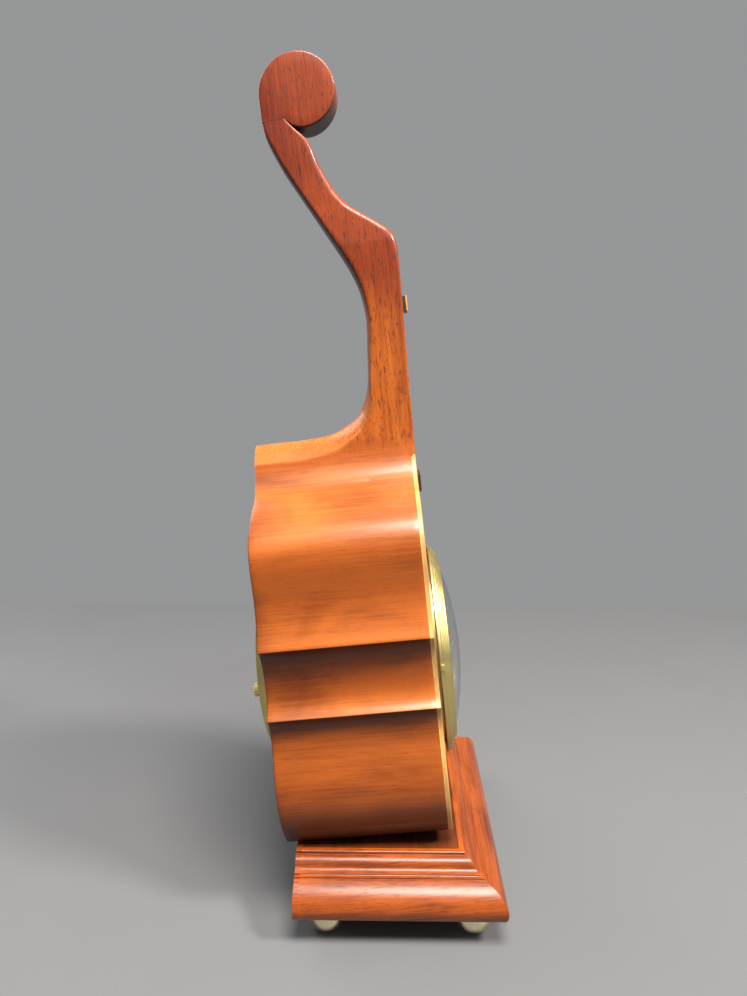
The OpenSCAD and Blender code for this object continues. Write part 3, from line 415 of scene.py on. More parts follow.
def case_and_neck_wood(name, case_light, case_dark, neck_light, neck_dark):
    """The neck's upright grain, turning into the case's front-to-back grain at the shoulder."""
    f = Finish(name, case_light)
    low, low_pores, low_line = wood_layer(f, case_light, case_dark, "y", fleck=0.22, mottle=0.85)
    high, high_pores, high_line = wood_layer(f, neck_light, neck_dark, "z", fleck=1, mottle=0.6)
    split = f.node("ShaderNodeSeparateXYZ", None, {0: f.coords()})
    height = Value(f, split.outputs[2]) - GRAIN_TURN
    redder = 0.058                # how far above the shoulder the neck turns redder, in metres
    up = (height + (f.noise((40, 40, 40), 2) - 0.5) * 0.012).between(-0.006, 0.012)
    red = (height - redder + (f.noise((30, 30, 30), 2) - 0.5) * 0.03).between(-0.018, 0.03)
    high = f.blend(red, high, f.blend(1.0, high, (0.52, 0.30, 0.20), "MULTIPLY"))
    pores = low_pores + (high_pores - low_pores) * up
    line = low_line + (high_line - low_line) * up
    # Painted light and shade: the wood is darkened where it faces down and lightened where it
    # faces up.
    colour = f.blend(1.0, f.blend(up, low, high),
                     f.painted_light_by_facing((0.17, 0.13, 0.12), (0.92, 0.90, 0.88), (1.2, 1.4, 1.6)), "MULTIPLY")
    worn = f.standing_out(*RUBBED_WOOD) * f.noise((60, 60, 60), 3).between(0.3, 0.6)
    colour = f.blend(worn * 0.5, colour, toned(case_light, 1.7))
    return f.done({
        "Base Color": colour,
        "Roughness": 0.36 + f.noise((35, 35, 35), 4, 0.6) * 0.14 + pores * 0.15,
        "Normal": f.bump(line * 0.25 - pores, 0.05, 0.5),
        "Coat Weight": 0.3 - pores * 0.2,
        "Coat Roughness": 0.19,
        **VARNISH,
    })


def brass(name, tint, tarnish, rough, grain, amount):
    """Metal with drawn lines, cloudy tarnish and bright rubbed edges."""
    f = Finish(name, tint)
    cloud = f.noise((70, 70, 70), 4, 0.6, 0.5)
    spots = f.noise((900, 900, 900), 2).between(0.62, 0.75)
    lines = f.noise(grain, 2, 0.6)
    old = cloud.between(0.35, 0.75) * amount + spots * 0.15
    colour = f.blend(old, tint, tarnish)
    colour = f.blend(f.standing_out(*RUBBED_BRASS) * 0.35, colour, toned(tint, 1.35))
    colour = f.blend((1 - f.standing_out(*SUNKEN)) * 0.8, colour, toned(tarnish, 0.35))
    return f.done({
        "Base Color": colour,
        "Metallic": 1.0 - old * 0.25,
        "Roughness": rough + old * 0.22 + lines * 0.08,
        "Normal": f.bump(lines, 0.01, 0.5),
    })


def steel(name, tint, second, rough, grain):
    """Drawn or polished steel whose colour drifts between two tones."""
    f = Finish(name, tint)
    lines = f.noise(grain, 3, 0.6)
    cloud = f.noise((140, 140, 140), 3)
    return f.done({
        "Base Color": f.blend(cloud.between(0.35, 0.7), tint, second),
        "Metallic": 1.0,
        "Roughness": rough + lines * 0.12,
        "Normal": f.bump(lines, 0.006, 0.5),
    })


def enamel(name, tint, stain):
    """Fired enamel with stains and a fine craze."""
    f = Finish(name, tint)
    cloud = f.noise((60, 60, 60), 4, 0.6)
    cells = f.node("ShaderNodeTexVoronoi", {"feature": "DISTANCE_TO_EDGE"},
                   {"Vector": f.coords(), "Scale": 90.0})
    craze = 1 - Value(f, cells.outputs[0]).between(0.0, 0.02)
    colour = f.blend(cloud.between(0.4, 0.8) * 0.35 + craze * 0.12, tint, stain)
    return f.done({
        "Base Color": colour,
        "Roughness": 0.16 + cloud * 0.08,
        "Normal": f.bump(cloud, 0.02, 0.3),
        "Coat Weight": 0.5,
        "Coat Roughness": 0.05,
    })


def paint(name, tint):
    """The fired paint of the dial's marks."""
    f = Finish(name, tint)
    grain = f.noise((700, 700, 700), 3)
    return f.done({
        "Base Color": f.blend(grain.between(0.3, 0.8), tint, tuple(c * 1.8 + 0.01 for c in tint)),
        "Roughness": 0.3 + grain * 0.2,
        "Normal": f.bump(grain, 0.005, 0.4),
    })


def glass(name, tint):
    """Old blown glass with a little dust on it."""
    f = Finish(name, tint)
    dust = f.noise((120, 120, 120), 4, 0.65)
    f.shader.inputs["Base Color"].default_value = (*tint, 1)
    return f.done({
        "Roughness": dust.between(0.45, 0.8) * 0.05 + 0.005,
        "Normal": f.bump(f.noise((35, 35, 35), 2), 0.06, 0.25),
        "Transmission Weight": 1.0,
        "IOR": 1.46,
    })


def shelf_paint(name, tint):
    """Matt paint with faint clouds and specks."""
    f = Finish(name, tint)
    cloud = f.noise((5, 5, 5), 4, 0.6, lean=False)
    specks = f.noise((420, 420, 420), 2, lean=False).between(0.70, 0.78)
    colour = f.blend(cloud.between(0.3, 0.75) * 0.35, tint, toned(tint, 0.86))
    colour = f.blend(specks * 0.25, colour, toned(tint, 0.6))
    return f.done({"Base Color": colour, "Roughness": 0.55 + cloud * 0.15,
                   "Normal": f.bump(cloud, 0.2, 0.2)})


# ---------------------------------------------------------------- outlines of the case

# Heights, depths and radii in the leaning frame, in mm.
FLAT_Z, NECK_FOOT_Z, BOARD_TOP_Z = 27.6, 190.0, 199.9
CASE_FRONT, CASE_BACK, PANEL_FRONT = -25.5, 50.5, -27.5
BORE_R = 44.0
SCROLL_HALF = 8.0                 # half of the scroll's width
SUNK_HALF = SCROLL_HALF - 0.06    # half of the neck's width inside the scroll
GAP = 0.02                        # between two pieces that meet
DENSE = 22                        # points in each curve of the outline


def chain(start, *bends):
    """Curves laid end to end. Each bend gives a curve's two handles and its end."""
    out = []
    for b, c, d in bends:
        out += curve(start, b, c, d, DENSE)
        start = d
    return out


CASE_SIDE = chain(
    (0, FLAT_Z),
    ((17, FLAT_Z), (34, FLAT_Z), (51.5, FLAT_Z)),
    ((56, FLAT_Z + 5.4), (61.7, 42), (61.7, 54)),
    ((61.7, 64), (57.5, 71), (56, 79)),
    ((54.8, 85), (57, 90), (60, 92.2)),
    ((55.6, 94.5), (53.2, 100), (53.2, 108)),
    ((53.2, 117), (56, 122.8), (60.5, 124.5)),
    ((57.5, 129), (53.3, 137), (53, 146)),
    ((52.9, 155), (54.5, 164), (50, 170.5)),
    ((46.5, 176), (38, 181.5), (29, 185)),
    ((20, 188.5), (14, 194), (12, SHOULDER_Z)),
)
NECK_SIDE = (
    CASE_SIDE[-DENSE:]
    + chain((12, SHOULDER_Z), ((11, 207.5), (10.5, 214), (10.5, 224)))
    + [(10.5, 300), (9, 318), (8.2, 334), (8, 350), (8, 355), (SUNK_HALF, 356.5),
       (SUNK_HALF, 400)]
)


def half_width(z):
    """Half of the front outline's width at a height of the neck."""
    for a, b in zip(NECK_SIDE, NECK_SIDE[1:]):
        if a[1] <= z <= b[1]:
            return a[0] + (b[0] - a[0]) * (z - a[1]) / (b[1] - a[1])
    return NECK_SIDE[0][0] if z < NECK_SIDE[0][1] else NECK_SIDE[-1][0]


def body_outline(top, easing):
    """The front outline up to a height, from its left end down and round to its right end."""
    side = [p for p in CASE_SIDE if p[1] < top - 0.01]
    side.append((half_width(top), top))
    whole = [(-x, z) for x, z in reversed(side[1:])] + side
    return smoothed(whole, easing)


def round_the_bore(outline):
    """The point of the drum's bore that lies in the direction of each outline point."""
    out = []
    for x, z in outline:
        a = math.atan2(z - DIAL_Z, x)
        out.append((BORE_R * math.cos(a), DIAL_Z + BORE_R * math.sin(a)))
    return out


def across_the_top(outline):
    """Closes an outline with a straight run from its right end to its left."""
    steps = 25
    return outline + [mix(outline[-1], outline[0], i / steps) for i in range(1, steps)]


# ---------------------------------------------------------------- settings

def length(name, text, default):
    """A property for a length, whose default is given in mm."""
    return bpy.props.FloatProperty(name=name, description=text, default=default * MM,
                                   min=0, subtype="DISTANCE", unit="LENGTH", precision=4)


def colour(name, text, default):
    """A property for a colour."""
    return bpy.props.FloatVectorProperty(name=name, description=text, default=default,
                                         size=3, min=0, max=1, subtype="COLOR")


class TimepieceSizes(bpy.types.PropertyGroup):
    """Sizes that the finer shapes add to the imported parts"""
    arris: length("Arris", "Radius of the eased wooden edges", 0.9)
    neck_arris: length("Neck arris", "Radius of the edges of the neck and scroll", 0.8)
    reed: length("Reed", "Radius of one reed on the front bezel", 0.82)
    numeral: length("Numeral", "Height of the numerals on the dial", 6.4)
    mark: length("Mark thickness", "Thickness of the painted marks on the dial", 0.05)


class TimepieceColours(bpy.types.PropertyGroup):
    """Colours of the woods and metals"""
    case_light: colour("Case light", "Light figure in the case's wood", (0.335, 0.074, 0.008))
    case_dark: colour("Case dark", "Dark figure in the case's wood", (0.155, 0.029, 0.003))
    neck_light: colour("Neck light", "Light figure in the neck's wood", (0.42, 0.104, 0.010))
    neck_dark: colour("Neck dark", "Dark figure in the neck's wood", (0.20, 0.032, 0.004))
    plinth_light: colour("Plinth light", "Light figure in the plinth's wood", (0.30, 0.060, 0.006))
    plinth_dark: colour("Plinth dark", "Dark figure in the plinth's wood", (0.10, 0.015, 0.002))
    boxwood: colour("Boxwood", "Colour of the pale line and the nut", (0.46, 0.25, 0.075))
    brass: colour("Brass", "Colour of the doors' brass", (0.58, 0.47, 0.18))
    tarnish: colour("Tarnish", "Colour of the brass where it has dulled", (0.30, 0.26, 0.10))
    foot_brass: colour("Foot brass", "Colour of the polished feet", (0.80, 0.72, 0.50))
    dial: colour("Dial", "Colour of the dial's enamel", (0.84, 0.81, 0.70))
    shelf: colour("Shelf", "Colour of the floor", (0.121, 0.122, 0.126))
    wall: colour("Wall", "Colour of the surroundings", (0.305, 0.308, 0.312))


MADE = {}


def finish(name):
    """Each material is made once, the first time that a piece asks for it."""
    if name in MADE:
        return MADE[name]
    c = bpy.context.scene.timepiece_colours

    def plinth_wood(along):
        return varnished(name, c.plinth_light, c.plinth_dark, along,
                         fleck=0.4, gloss=0.36, coat=0.4)

    makers = {
        "case_wood": lambda: case_and_neck_wood(name, c.case_light, c.case_dark,
                                                c.neck_light, c.neck_dark),
        "board_wood": lambda: varnished(name, c.case_light, c.case_dark, "z",
                                        fleck=0.5, gloss=0.34, coat=0.5, mottle=0.8),
        "plinth_side_wood": lambda: plinth_wood("y"),
        "plinth_front_wood": lambda: plinth_wood("x"),
        # Painted shade: a far darker copy of the plinth's wood, for the core and wedge that lie in
        # the case's shadow.
        "painted_shade_wood": lambda: varnished(name, (0.10, 0.022, 0.005), (0.04, 0.008, 0.002), "x",
                                         fleck=0.5, gloss=0.45, coat=0.1),
        "ebony": lambda: varnished(name, (0.035, 0.02, 0.014), (0.012, 0.007, 0.005), "x",
                                   fleck=0.5, gloss=0.35, coat=0.3),
        "boxwood": lambda: varnished(name, c.boxwood, toned(c.boxwood, 0.55), "z",
                                     fleck=0.25, gloss=0.4, coat=0.3),
        "aged_brass": lambda: brass(name, c.brass, c.tarnish, rough=0.33,
                                    grain=(500, 500, 500), amount=0.6),
        "polished_brass": lambda: brass(name, c.foot_brass, c.tarnish, rough=0.16,
                                        grain=(300, 300, 2500), amount=0.2),
        "movement_brass": lambda: brass(name, (0.74, 0.58, 0.24), (0.42, 0.30, 0.12),
                                        rough=0.26, grain=(2600, 300, 160), amount=0.3),
        "steel": lambda: steel(name, (0.56, 0.57, 0.60), (0.46, 0.46, 0.48), rough=0.22,
                               grain=(1800, 160, 160)),
        "blued_steel": lambda: steel(name, (0.025, 0.04, 0.16), (0.05, 0.03, 0.12),
                                     rough=0.2, grain=(1500, 200, 200)),
        "enamel": lambda: enamel(name, c.dial, (0.55, 0.50, 0.38)),
        "dial_black": lambda: paint(name, (0.012, 0.012, 0.014)),
        "glass": lambda: glass(name, (0.97, 0.99, 0.98)),
        "shelf_paint": lambda: shelf_paint(name, c.shelf),
    }
    MADE[name] = makers[name]()
    return MADE[name]


# ---------------------------------------------------------------- operators

class TIMEPIECE_OT_stage(bpy.types.Operator):
    """Lays the floor, hangs the lights and sets the camera"""
    bl_idname = "timepiece.stage"
    bl_label = "Floor, light and camera"
    bl_options = {"REGISTER", "UNDO"}

    def execute(self, context):
        scene = context.scene
        scene.view_settings.view_transform = "Standard"
        # The floor ends at a slightly slanting far edge, where the wall would begin.
        near, far, side, skew, n = -1500.0, 415.0, 1800.0, 0.044, 24
        rows = []
        for j in range(n + 1):
            y = part_way(-side, side, j / n)
            rows.append([(part_way(near, far + skew * y, i / n), y, 0) for i in range(n + 1)])
        floor = Shape().grid(rows, wrap_points=False)
        mesh = bpy.data.meshes.new("floor")
        mesh.from_pydata([upright(p) for p in floor.points], [], floor.faces)
        ground = bpy.data.objects.new("floor", mesh)
        scene.collection.objects.link(ground)
        mesh.materials.append(finish("shelf_paint"))
        world = bpy.data.worlds.new("surroundings")
        scene.world = world
        world.use_nodes = True
        sky = world.node_tree.nodes["Background"]
        sky.inputs["Color"].default_value = (*scene.timepiece_colours.wall, 1)
        sky.inputs["Strength"].default_value = 1.0
        for name, spot, aim, size, power, tint in (
            ("key", (-0.38, -0.86, 1.02), (0, 0, 0.15), 0.22, 26.0, (1.0, 0.96, 0.91)),
            ("overhead", (-0.34, -0.12, 1.0), (0, 0, 0.2), 0.4, 22.0, (1.0, 0.95, 0.88)),
            ("rear", (0.7, 1.0, 1.0), (0, 0, 0.05), 1.0, 12.0, (0.93, 0.96, 1.0)),
        ):
            lamp = bpy.data.lights.new(name, "AREA")
            lamp.shape = "SQUARE"
            lamp.size = size
            lamp.energy = power
            lamp.color = tint
            light = bpy.data.objects.new(name, lamp)
            light.location = spot
            beam = Vector(aim) - Vector(spot)
            light.rotation_euler = beam.to_track_quat("-Z", "Y").to_euler()
            scene.collection.objects.link(light)
        self.camera(scene)
        return {"FINISHED"}

    def camera(self, scene):
        """Looks at the clock's left side from a little above its middle."""
        eye = Vector((-0.3576, -0.01129, 0.2485))
        yaw, pitch, roll = (math.radians(a) for a in (1.94, 9.25, -0.74))
        forward = Vector((math.cos(pitch) * math.cos(yaw), math.cos(pitch) * math.sin(yaw),
                          -math.sin(pitch)))
        right = forward.cross(Vector((0, 0, 1))).normalized()
        up = right.cross(forward)
        across = right * math.cos(roll) + up * math.sin(roll)
        above = up * math.cos(roll) - right * math.sin(roll)
        data = bpy.data.cameras.new("view")
        data.lens = 26.02
        camera = bpy.data.objects.new("view", data)
        turn = Matrix((across, above, -forward)).transposed().to_4x4()
        camera.matrix_world = Matrix.Translation(eye) @ turn
        scene.collection.objects.link(camera)
        scene.camera = camera


class TIMEPIECE_OT_plinth(bpy.types.Operator):
    """Builds the mitred ogee mouldings and finishes the plinth's core"""
    bl_idname = "timepiece.plinth"
    bl_label = "Plinth"
    bl_options = {"REGISTER", "UNDO"}

    def execute(self, context):
        low, high = (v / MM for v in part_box("base_core"))
        foot, back = low.z, high.y
        step = 20.7                   # how far the mouldings stand out from the core
        runs = 24
        section = (
            curve((0.2, 0.4), (6, 0.0), (12, 0), (step - 3, 0), 6)
            + curve((step - 3, 0), (step - 1, 0), (step, 2.5), (step, 5.5), 14)
            + curve((step, 5.5), (step - 0.6, 9.6), (step - 3.6, 13), (step - 8.9, 14.8), 20)
            + [(step - 9.1, 14.95), (step - 9.5, 15.0), (step - 9.6, 15.1), (step - 9.6, 15.6),
               (step - 9.7, 15.75), (step - 10.8, 15.8), (step - 11, 15.95), (step - 11, 16.4)]
            + curve((step - 11.1, 16.5), (step - 12.8, 16.8), (step - 13.6, 17.4),
                    (step - 13.8, 18.3), 12)
            + curve((step - 13.8, 18.3), (step - 14.2, 20.2), (step - 15.8, 21.3),
                    (step - 17.8, 21.4), 14)
            + [(step - 17.9, 21.5), (step - 17.95, 22.6), (step - 18.2, 22.8), (0.2, 22.8)]
        )
        for name, way in (("base_moulding_left", -1), ("base_moulding_right", 1)):
            edge = high.x * way
            rows = [[(edge + way * d, part_way(low.y - d, back, t / runs), foot + z)
                     for d, z in section] for t in range(runs + 1)]
            Shape().grid(rows, caps=True).piece(
                name + "_run", finish("plinth_side_wood"), "case", "mahogany_plinth", [name],
                upright)
        rows = [[(part_way(low.x - d, high.x + d, t / runs), low.y - d - GAP, foot + z)
                 for d, z in section] for t in range(runs + 1)]
        Shape().grid(rows, caps=True).piece(
            "base_moulding_front_run", finish("plinth_front_wood"), "case", "mahogany_plinth",
            ["base_moulding_front"], upright)
        # The core and the wedge get the darker wood as painted shade for the shadow under the
        # case.
        dress(finish("painted_shade_wood"), "base_core", "seat_wedge")
        dress(finish("plinth_side_wood"), "base_back_strip", ease=0.3)
        dress(finish("steel"), "case_screws", "foot_screws", ease=0.15)
        return {"FINISHED"}


class TIMEPIECE_OT_feet(bpy.types.Operator):
    """Turns the four flattened brass feet"""
    bl_idname = "timepiece.feet"
    bl_label = "Feet"
    bl_options = {"REGISTER", "UNDO"}

    def execute(self, context):
        for name in ("foot_front_left", "foot_front_right", "foot_back_left", "foot_back_right"):
            low, high = (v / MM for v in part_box(name))
            r, h = (high.x - low.x) / 2, high.z
            middle = ((low.x + high.x) / 2, (low.y + high.y) / 2)
            bore, head = 1.75, 3.4        # radii round the screw's shank and its head
            profile = (
                [(bore, h - GAP), (bore, 2.5), (head, 2.5), (head, 0.3), (head + 0.3, 0)]
                + curve((r - 4.4, 0), (r - 1.6, 0.3), (r, 3.0), (r, h * 0.56), 14)
                + curve((r, h * 0.56), (r, h * 0.74), (r - 0.5, h * 0.84), (r - 1.3, h * 0.88), 12)
                + [(r - 1.4, h * 0.9), (r - 1.1, h * 0.91), (r - 1, h * 0.96), (r - 1.2, h - GAP)]
            )
            Shape().post(profile, middle, 72).piece(
                name + "_bun", finish("polished_brass"), "case", "brass_feet", [name], upright)
        return {"FINISHED"}


class TIMEPIECE_OT_case(bpy.types.Operator):
    """Builds the bored block, the front board and the pale line round its edge"""
    bl_idname = "timepiece.case"
    bl_label = "Case"
    bl_options = {"REGISTER", "UNDO"}

    def execute(self, context):
        r = context.scene.timepiece_sizes.arris / MM
        outline = across_the_top(body_outline(NECK_FOOT_Z, 2))
        bore = round_the_bore(outline)
        steps = 30
        rows = [at_depth(CASE_FRONT, inset(outline, GAP))]
        rows += [at_depth(part_way(CASE_FRONT + 0.1, CASE_BACK - r, i / steps), outline)
                 for i in range(steps + 1)]
        for turn in (30, 60, 90):
            side, drop = rounding(turn)
            rows.append(at_depth(CASE_BACK - r * side, inset(outline, r * drop)))
        edge = inset(outline, r)
        rows += [at_depth(CASE_BACK, [mix(p, q, t) for p, q in zip(edge, bore)])
                 for t in (0.05, 0.5, 0.97)]
        rows += [at_depth(y, bore) for y in (CASE_BACK - 0.4, 12, CASE_FRONT)]
        Shape().grid(rows, wrap_rows=True).piece(
            "case_block", finish("case_wood"), "case", "mahogany", ["case_body"])
        self.board()
        return {"FINISHED"}

    def board(self):
        """The veneered front and the line let into its edge."""
        edge = body_outline(BOARD_TOP_Z, 2)
        line_width = 2.0
        inner = inset(edge, line_width + GAP, closed=False)
        inner[0] = (inner[0][0], BOARD_TOP_Z)
        inner[-1] = (inner[-1][0], BOARD_TOP_Z)
        inner = across_the_top(inner)
        bore = round_the_bore(inner)
        rows = [at_depth(CASE_FRONT, inner), at_depth(PANEL_FRONT + 0.08, inner)]
        rows += [at_depth(PANEL_FRONT, [mix(p, q, t) for p, q in zip(inner, bore)])
                 for t in (0.004, 0.3, 0.6, 1)]
        rows.append(at_depth(CASE_FRONT, bore))
        Shape().grid(rows, wrap_rows=True).piece(
            "front_veneer", finish("board_wood"), "case", "mahogany", ["front_board"])
        section = ((GAP, CASE_FRONT), (0, PANEL_FRONT + 0.6), (0.1, PANEL_FRONT + 0.22),
                   (0.32, PANEL_FRONT + 0.04), (0.6, PANEL_FRONT), (line_width, PANEL_FRONT),
                   (line_width, CASE_FRONT))
        runs = [[(x, y, min(z, BOARD_TOP_Z)) for x, z in inset(edge, d, closed=False)]
                for d, y in section]
        rows = [list(points) for points in zip(*runs)]
        Shape().grid(rows, caps=True).piece(
            "edge_line", finish("boxwood"), "case", "boxwood", ["edge_stringing"])


class TIMEPIECE_OT_neck(bpy.types.Operator):
    """Lofts the shoulder, neck, peg box and scroll, and fits the nut and saddle"""
    bl_idname = "timepiece.neck"
    bl_label = "Neck and scroll"
    bl_options = {"REGISTER", "UNDO"}

    # Each station: the middle of the back, the middle of the front, how far the back is
    # crowned, and the radius of the front arris as a share of the back's.
    STATIONS = (
        ((50.5, 210.9), (50.5, NECK_FOOT_Z), 7.9, 0.03), ((38, 211.0), (38, NECK_FOOT_Z), 8, 0.03),
        ((27, 211.0), (22, NECK_FOOT_Z), 8, 0.03), ((14.8, 212.1), (6, NECK_FOOT_Z), 7.2, 0.03),
        ((7.3, 214.5), (-8, NECK_FOOT_Z), 6.3, 0.03),
        ((0.5, 218.5), (-20, NECK_FOOT_Z), 5.4, 0.03),
        ((-2.2, 221.4), (CASE_FRONT, NECK_FOOT_Z), 4.8, 0.03),
        ((-4.1, 224.3), (CASE_FRONT, 195), 4.3, 0.03),
        ((-6.9, 231.1), (CASE_FRONT, 198.6), 3.5, 0.03),
        ((-8.2, 237.0), (CASE_FRONT, 199.9), 3.0, 0.1), ((-8.5, 240.3), (-27.5, 200.1), 2.7, 0.8),
        ((-9.4, 251.7), (-27.9, 232), 2.1, 1), ((-10.2, 262), (-28.25, 252), 1.8, 1),
        ((-10.2, 269), (-28.45, 268), 1.8, 1), ((-8.6, 279), (-28.6, 280), 1.8, 1),
        ((-5.4, 288), (-28.65, 290), 1.8, 1.4), ((-1.9, 295.2), (-28.4, 298), 1.7, 2.4),
        ((1.0, 300.6), (-26.8, 303), 1.6, 3), ((4.0, 306), (-22.5, 307.2), 1.5, 3.2),
        ((8.9, 314.9), (-9.5, 316.3), 1.4, 3.2), ((12.2, 320.8), (-5.0, 320.9), 1.3, 3.2),
        ((15.5, 326.8), (-1.3, 326.4), 1.2, 3), ((20.7, 336.3), (4.0, 337.6), 1.2, 2.4),
        ((25.2, 346.5), (7.6, 347.6), 0.9, 1.6), ((27.15, 353), (13.2, 353.6), 0.4, 1),
        ((27.45, 360.5), (18.4, 359.6), 0.1, 0.5),
    )

    def section(self, back, front, crown, front_share, r):
        """One closed section, from the middle of the back round to itself."""
        b, f = Vector(back), Vector(front)
        way = (f - b).normalized()
        span = (f - b).length
        w = half_width(back[1] + way.y * crown)
        q = r * front_share
        # Each point's place across, as a share of the half width, and its depth from the back.
        half = [(share, crown * share * share) for share in (0, 0.25, 0.5, 0.72, 0.88)]
        for side, drop in map(rounding, (10, 45, 80)):
            half.append((1 - r / w * side, crown + r * drop * 0.9))
        steps = 14
        half += [(1, crown + r + (span - crown - r - 1.05 * q) * i / steps)
                 for i in range(1, steps)]
        for side, drop in map(rounding, (80, 45, 10)):
            half.append((1 - q / w * side, span - q * drop))
        half += [(0.6, span), (0, span)]
        right = []
        for share, deep in half:
            y, z = b + way * deep
            right.append((share * half_width(z), y, z))
        return right + [(-x, y, z) for x, y, z in reversed(right[1:-1])]

    def between(self):
        """The stations with smooth steps put in between them."""
        n = 5
        full = [Vector((*b, *f, *rest)) for b, f, *rest in self.STATIONS]
        out = []
        for i in range(len(full) - 1):
            p0, p1 = full[max(0, i - 1)], full[i]
            p2, p3 = full[i + 1], full[min(len(full) - 1, i + 2)]
            for k in range(n):
                t = k / n
                out.append(0.5 * (2 * p1 + (p2 - p0) * t + (2 * p0 - 5 * p1 + 4 * p2 - p3) * t**2
                                  + (3 * p1 - p0 - 3 * p2 + p3) * t**3))
        # The front stays clear of the case and, below the board's top, behind the board.
        for s in out:
            s[3] = max(s[3], NECK_FOOT_Z)
            if s[3] < BOARD_TOP_Z:
                s[2] = max(s[2], CASE_FRONT)
        return out + [full[-1]]

    def execute(self, context):
        r = context.scene.timepiece_sizes.neck_arris / MM
        shape = Shape()
        shape.grid([self.section(s[0:2], s[2:4], s[4], s[5], r) for s in self.between()],
                   caps=True)
        self.scroll(shape, r)
        shape.piece("neck_and_scroll", finish("case_wood"), "case", "mahogany", ["neck_scroll"],
                    crease=38)
        Shape().block((-7, -30.0, 267.5), (7, -28.0, 274.4), 0.3).piece(
            "string_nut", finish("ebony"), "case", "boxwood", ["nut"])
        Shape().block((-7.05, -30.6, 267.4), (7.05, -29.95, 274.5), 0.2).piece(
            "nut_cap", finish("boxwood"), "case", "boxwood")
        Shape().block((-8, PANEL_FRONT - 1.6, 180.6), (8, PANEL_FRONT, 189.6), 0.3).piece(
            "string_saddle", finish("ebony"), "case", "mahogany", ["lower_saddle"])
        return {"FINISHED"}

    def scroll(self, shape, r):
        """The flat-faced volute: a spiral that closes on itself at the crease under it."""
        hub = Vector((9.3, 369.3))
        back = 27.5 - hub.x
        # Directions from the hub in degrees, and how far off the edge is.
        spiral = ((-53, 14.1), (-72, 15.4), (-95, 16.1), (-180, 16.8), (-270, 16.5), (-320, 17.1),
                  (-360, back))
        loop = []
        for (a0, r0), (a1, r1) in zip(spiral, spiral[1:]):
            steps = round((a0 - a1) / 3)
            loop += [mix((a0, r0), (a1, r1), i / steps) for i in range(steps)]
        loop = smoothed(loop, 6)
        loop += [(-360 - a, back / math.cos(math.radians(a))) for a in range(0, 36, 3)]
        loop = [hub + reach * Vector((math.cos(math.radians(a)), math.sin(math.radians(a))))
                for a, reach in loop]
        closing = (loop[-1] - loop[0]).normalized()
        inward = [closing] + [(hub - p).normalized() for p in loop[1:-1]] + [-closing]
        rows = [[(SCROLL_HALF * share, *p) for p in loop] for share in (0, 0.5, 0.85)]
        for side, drop in map(rounding, (10, 40, 65, 90)):
            rows.append([(SCROLL_HALF - r * side, *(p + way * r * drop))
                         for p, way in zip(loop, inward)])
        rows += [[(SCROLL_HALF, *p.lerp(hub, share)) for p in loop] for share in (0.35, 0.7, 0.9)]
        mirrored = [[(-x, y, z) for x, y, z in row] for row in reversed(rows[1:])]
        shape.grid(mirrored + rows, caps=True)


class TIMEPIECE_OT_front_door(bpy.types.Operator):
    """Turns the reeded bezel and blows its glass"""
    bl_idname = "timepiece.front_door"
    bl_label = "Front door"
    bl_options = {"REGISTER", "UNDO"}

    def execute(self, context):
        outer, inner, glass_r = 52.0, 42.8, 44.4
        back, front = -28.9, -34.5
        lip, glass_t, dome = front + 1.0, 1.5, 7.2
        ball = (glass_r**2 + dome**2) / (2 * dome)

        def dome_y(radius):
            return lip + ball - dome - math.sqrt(ball**2 - radius**2)

        reeds, reed = 5, context.scene.timepiece_sizes.reed / MM
        first, last = Vector((outer - 1.5, back - 1.9)), Vector((inner + 1.7, front + 0.85))
        slope = (last - first).normalized()
        out = Vector((-slope.y, slope.x))
        profile = [(outer - 0.2, back), (outer, back - 0.25), (outer, back - 1.1),
                   (outer - 0.15, back - 1.35)]
        for i in range(reeds):
            c = first.lerp(last, i / (reeds - 1))
            for turn in range(-75, 76, 25):
                a = math.radians(turn)
                p = c + reed * (out * math.cos(a) + slope * math.sin(a))
                profile.append((p.x, p.y))
        rebate = glass_r + 0.08
        profile += [(inner + 0.6, front + 0.05), (inner + 0.2, front), (inner, front + 0.2),
                    (inner, dome_y(inner) - 0.05), (rebate, lip - 0.05), (rebate, back - 1.6),
                    (glass_r + 1, back - 1.6), (glass_r + 1, back)]
        ring = Shape().turned(profile, 192)
        # Two knuckles above and below the seat's own, each with its leaf.
        hinge_x, hinge_y, r, long, pin = outer + 1.4, -30.2, 1.4, 4.0, 0.66
        for z0 in (long / 2 + 0.1, -1.5 * long - 0.1):
            a, b = DIAL_Z + z0, DIAL_Z + z0 + long
            ring.post([(pin, a), (r - 0.2, a), (r, a + 0.2), (r, b - 0.2), (r - 0.2, b), (pin, b)],
                      (hinge_x, hinge_y), 40)
            ring.block((hinge_x - 2.6, hinge_y - r, a + 0.1),
                       (hinge_x - 0.75, hinge_y + r - 0.25, b - 0.1), 0.2)
        # The thumb piece stands a little above the middle of the other side.
        a = math.radians(10)
        c, s = math.cos(a), math.sin(a)
        thumb = Shape().block((-outer - 0.9, back - 1.9, -1.6), (-outer + 1.1, back - 0.3, 1.6),
                              0.35)
        ring.add([(x * c + z * s, y, DIAL_Z - x * s + z * c) for x, y, z in thumb.points],
                 thumb.faces)
        ring.piece("reeded_bezel", finish("aged_brass"), "bezel_door", "brass", ["bezel_ring"])
        n = 40
        bowl = [(glass_r * i / n, dome_y(glass_r * i / n)) for i in range(n + 1)]
        bowl += [(x, y + glass_t) for x, y in reversed(bowl)]
        Shape().turned(bowl, 160, closed=False).piece(
            "glass_dome", finish("glass"), "bezel_door", "glass", ["glass"])
        dress(finish("aged_brass"), "bezel_seat", "glass_retainer", "bezel_hinge_pin",
              "drum_shell")
        dress(finish("steel"), "drum_screws", ease=0.1)
        return {"FINISHED"}


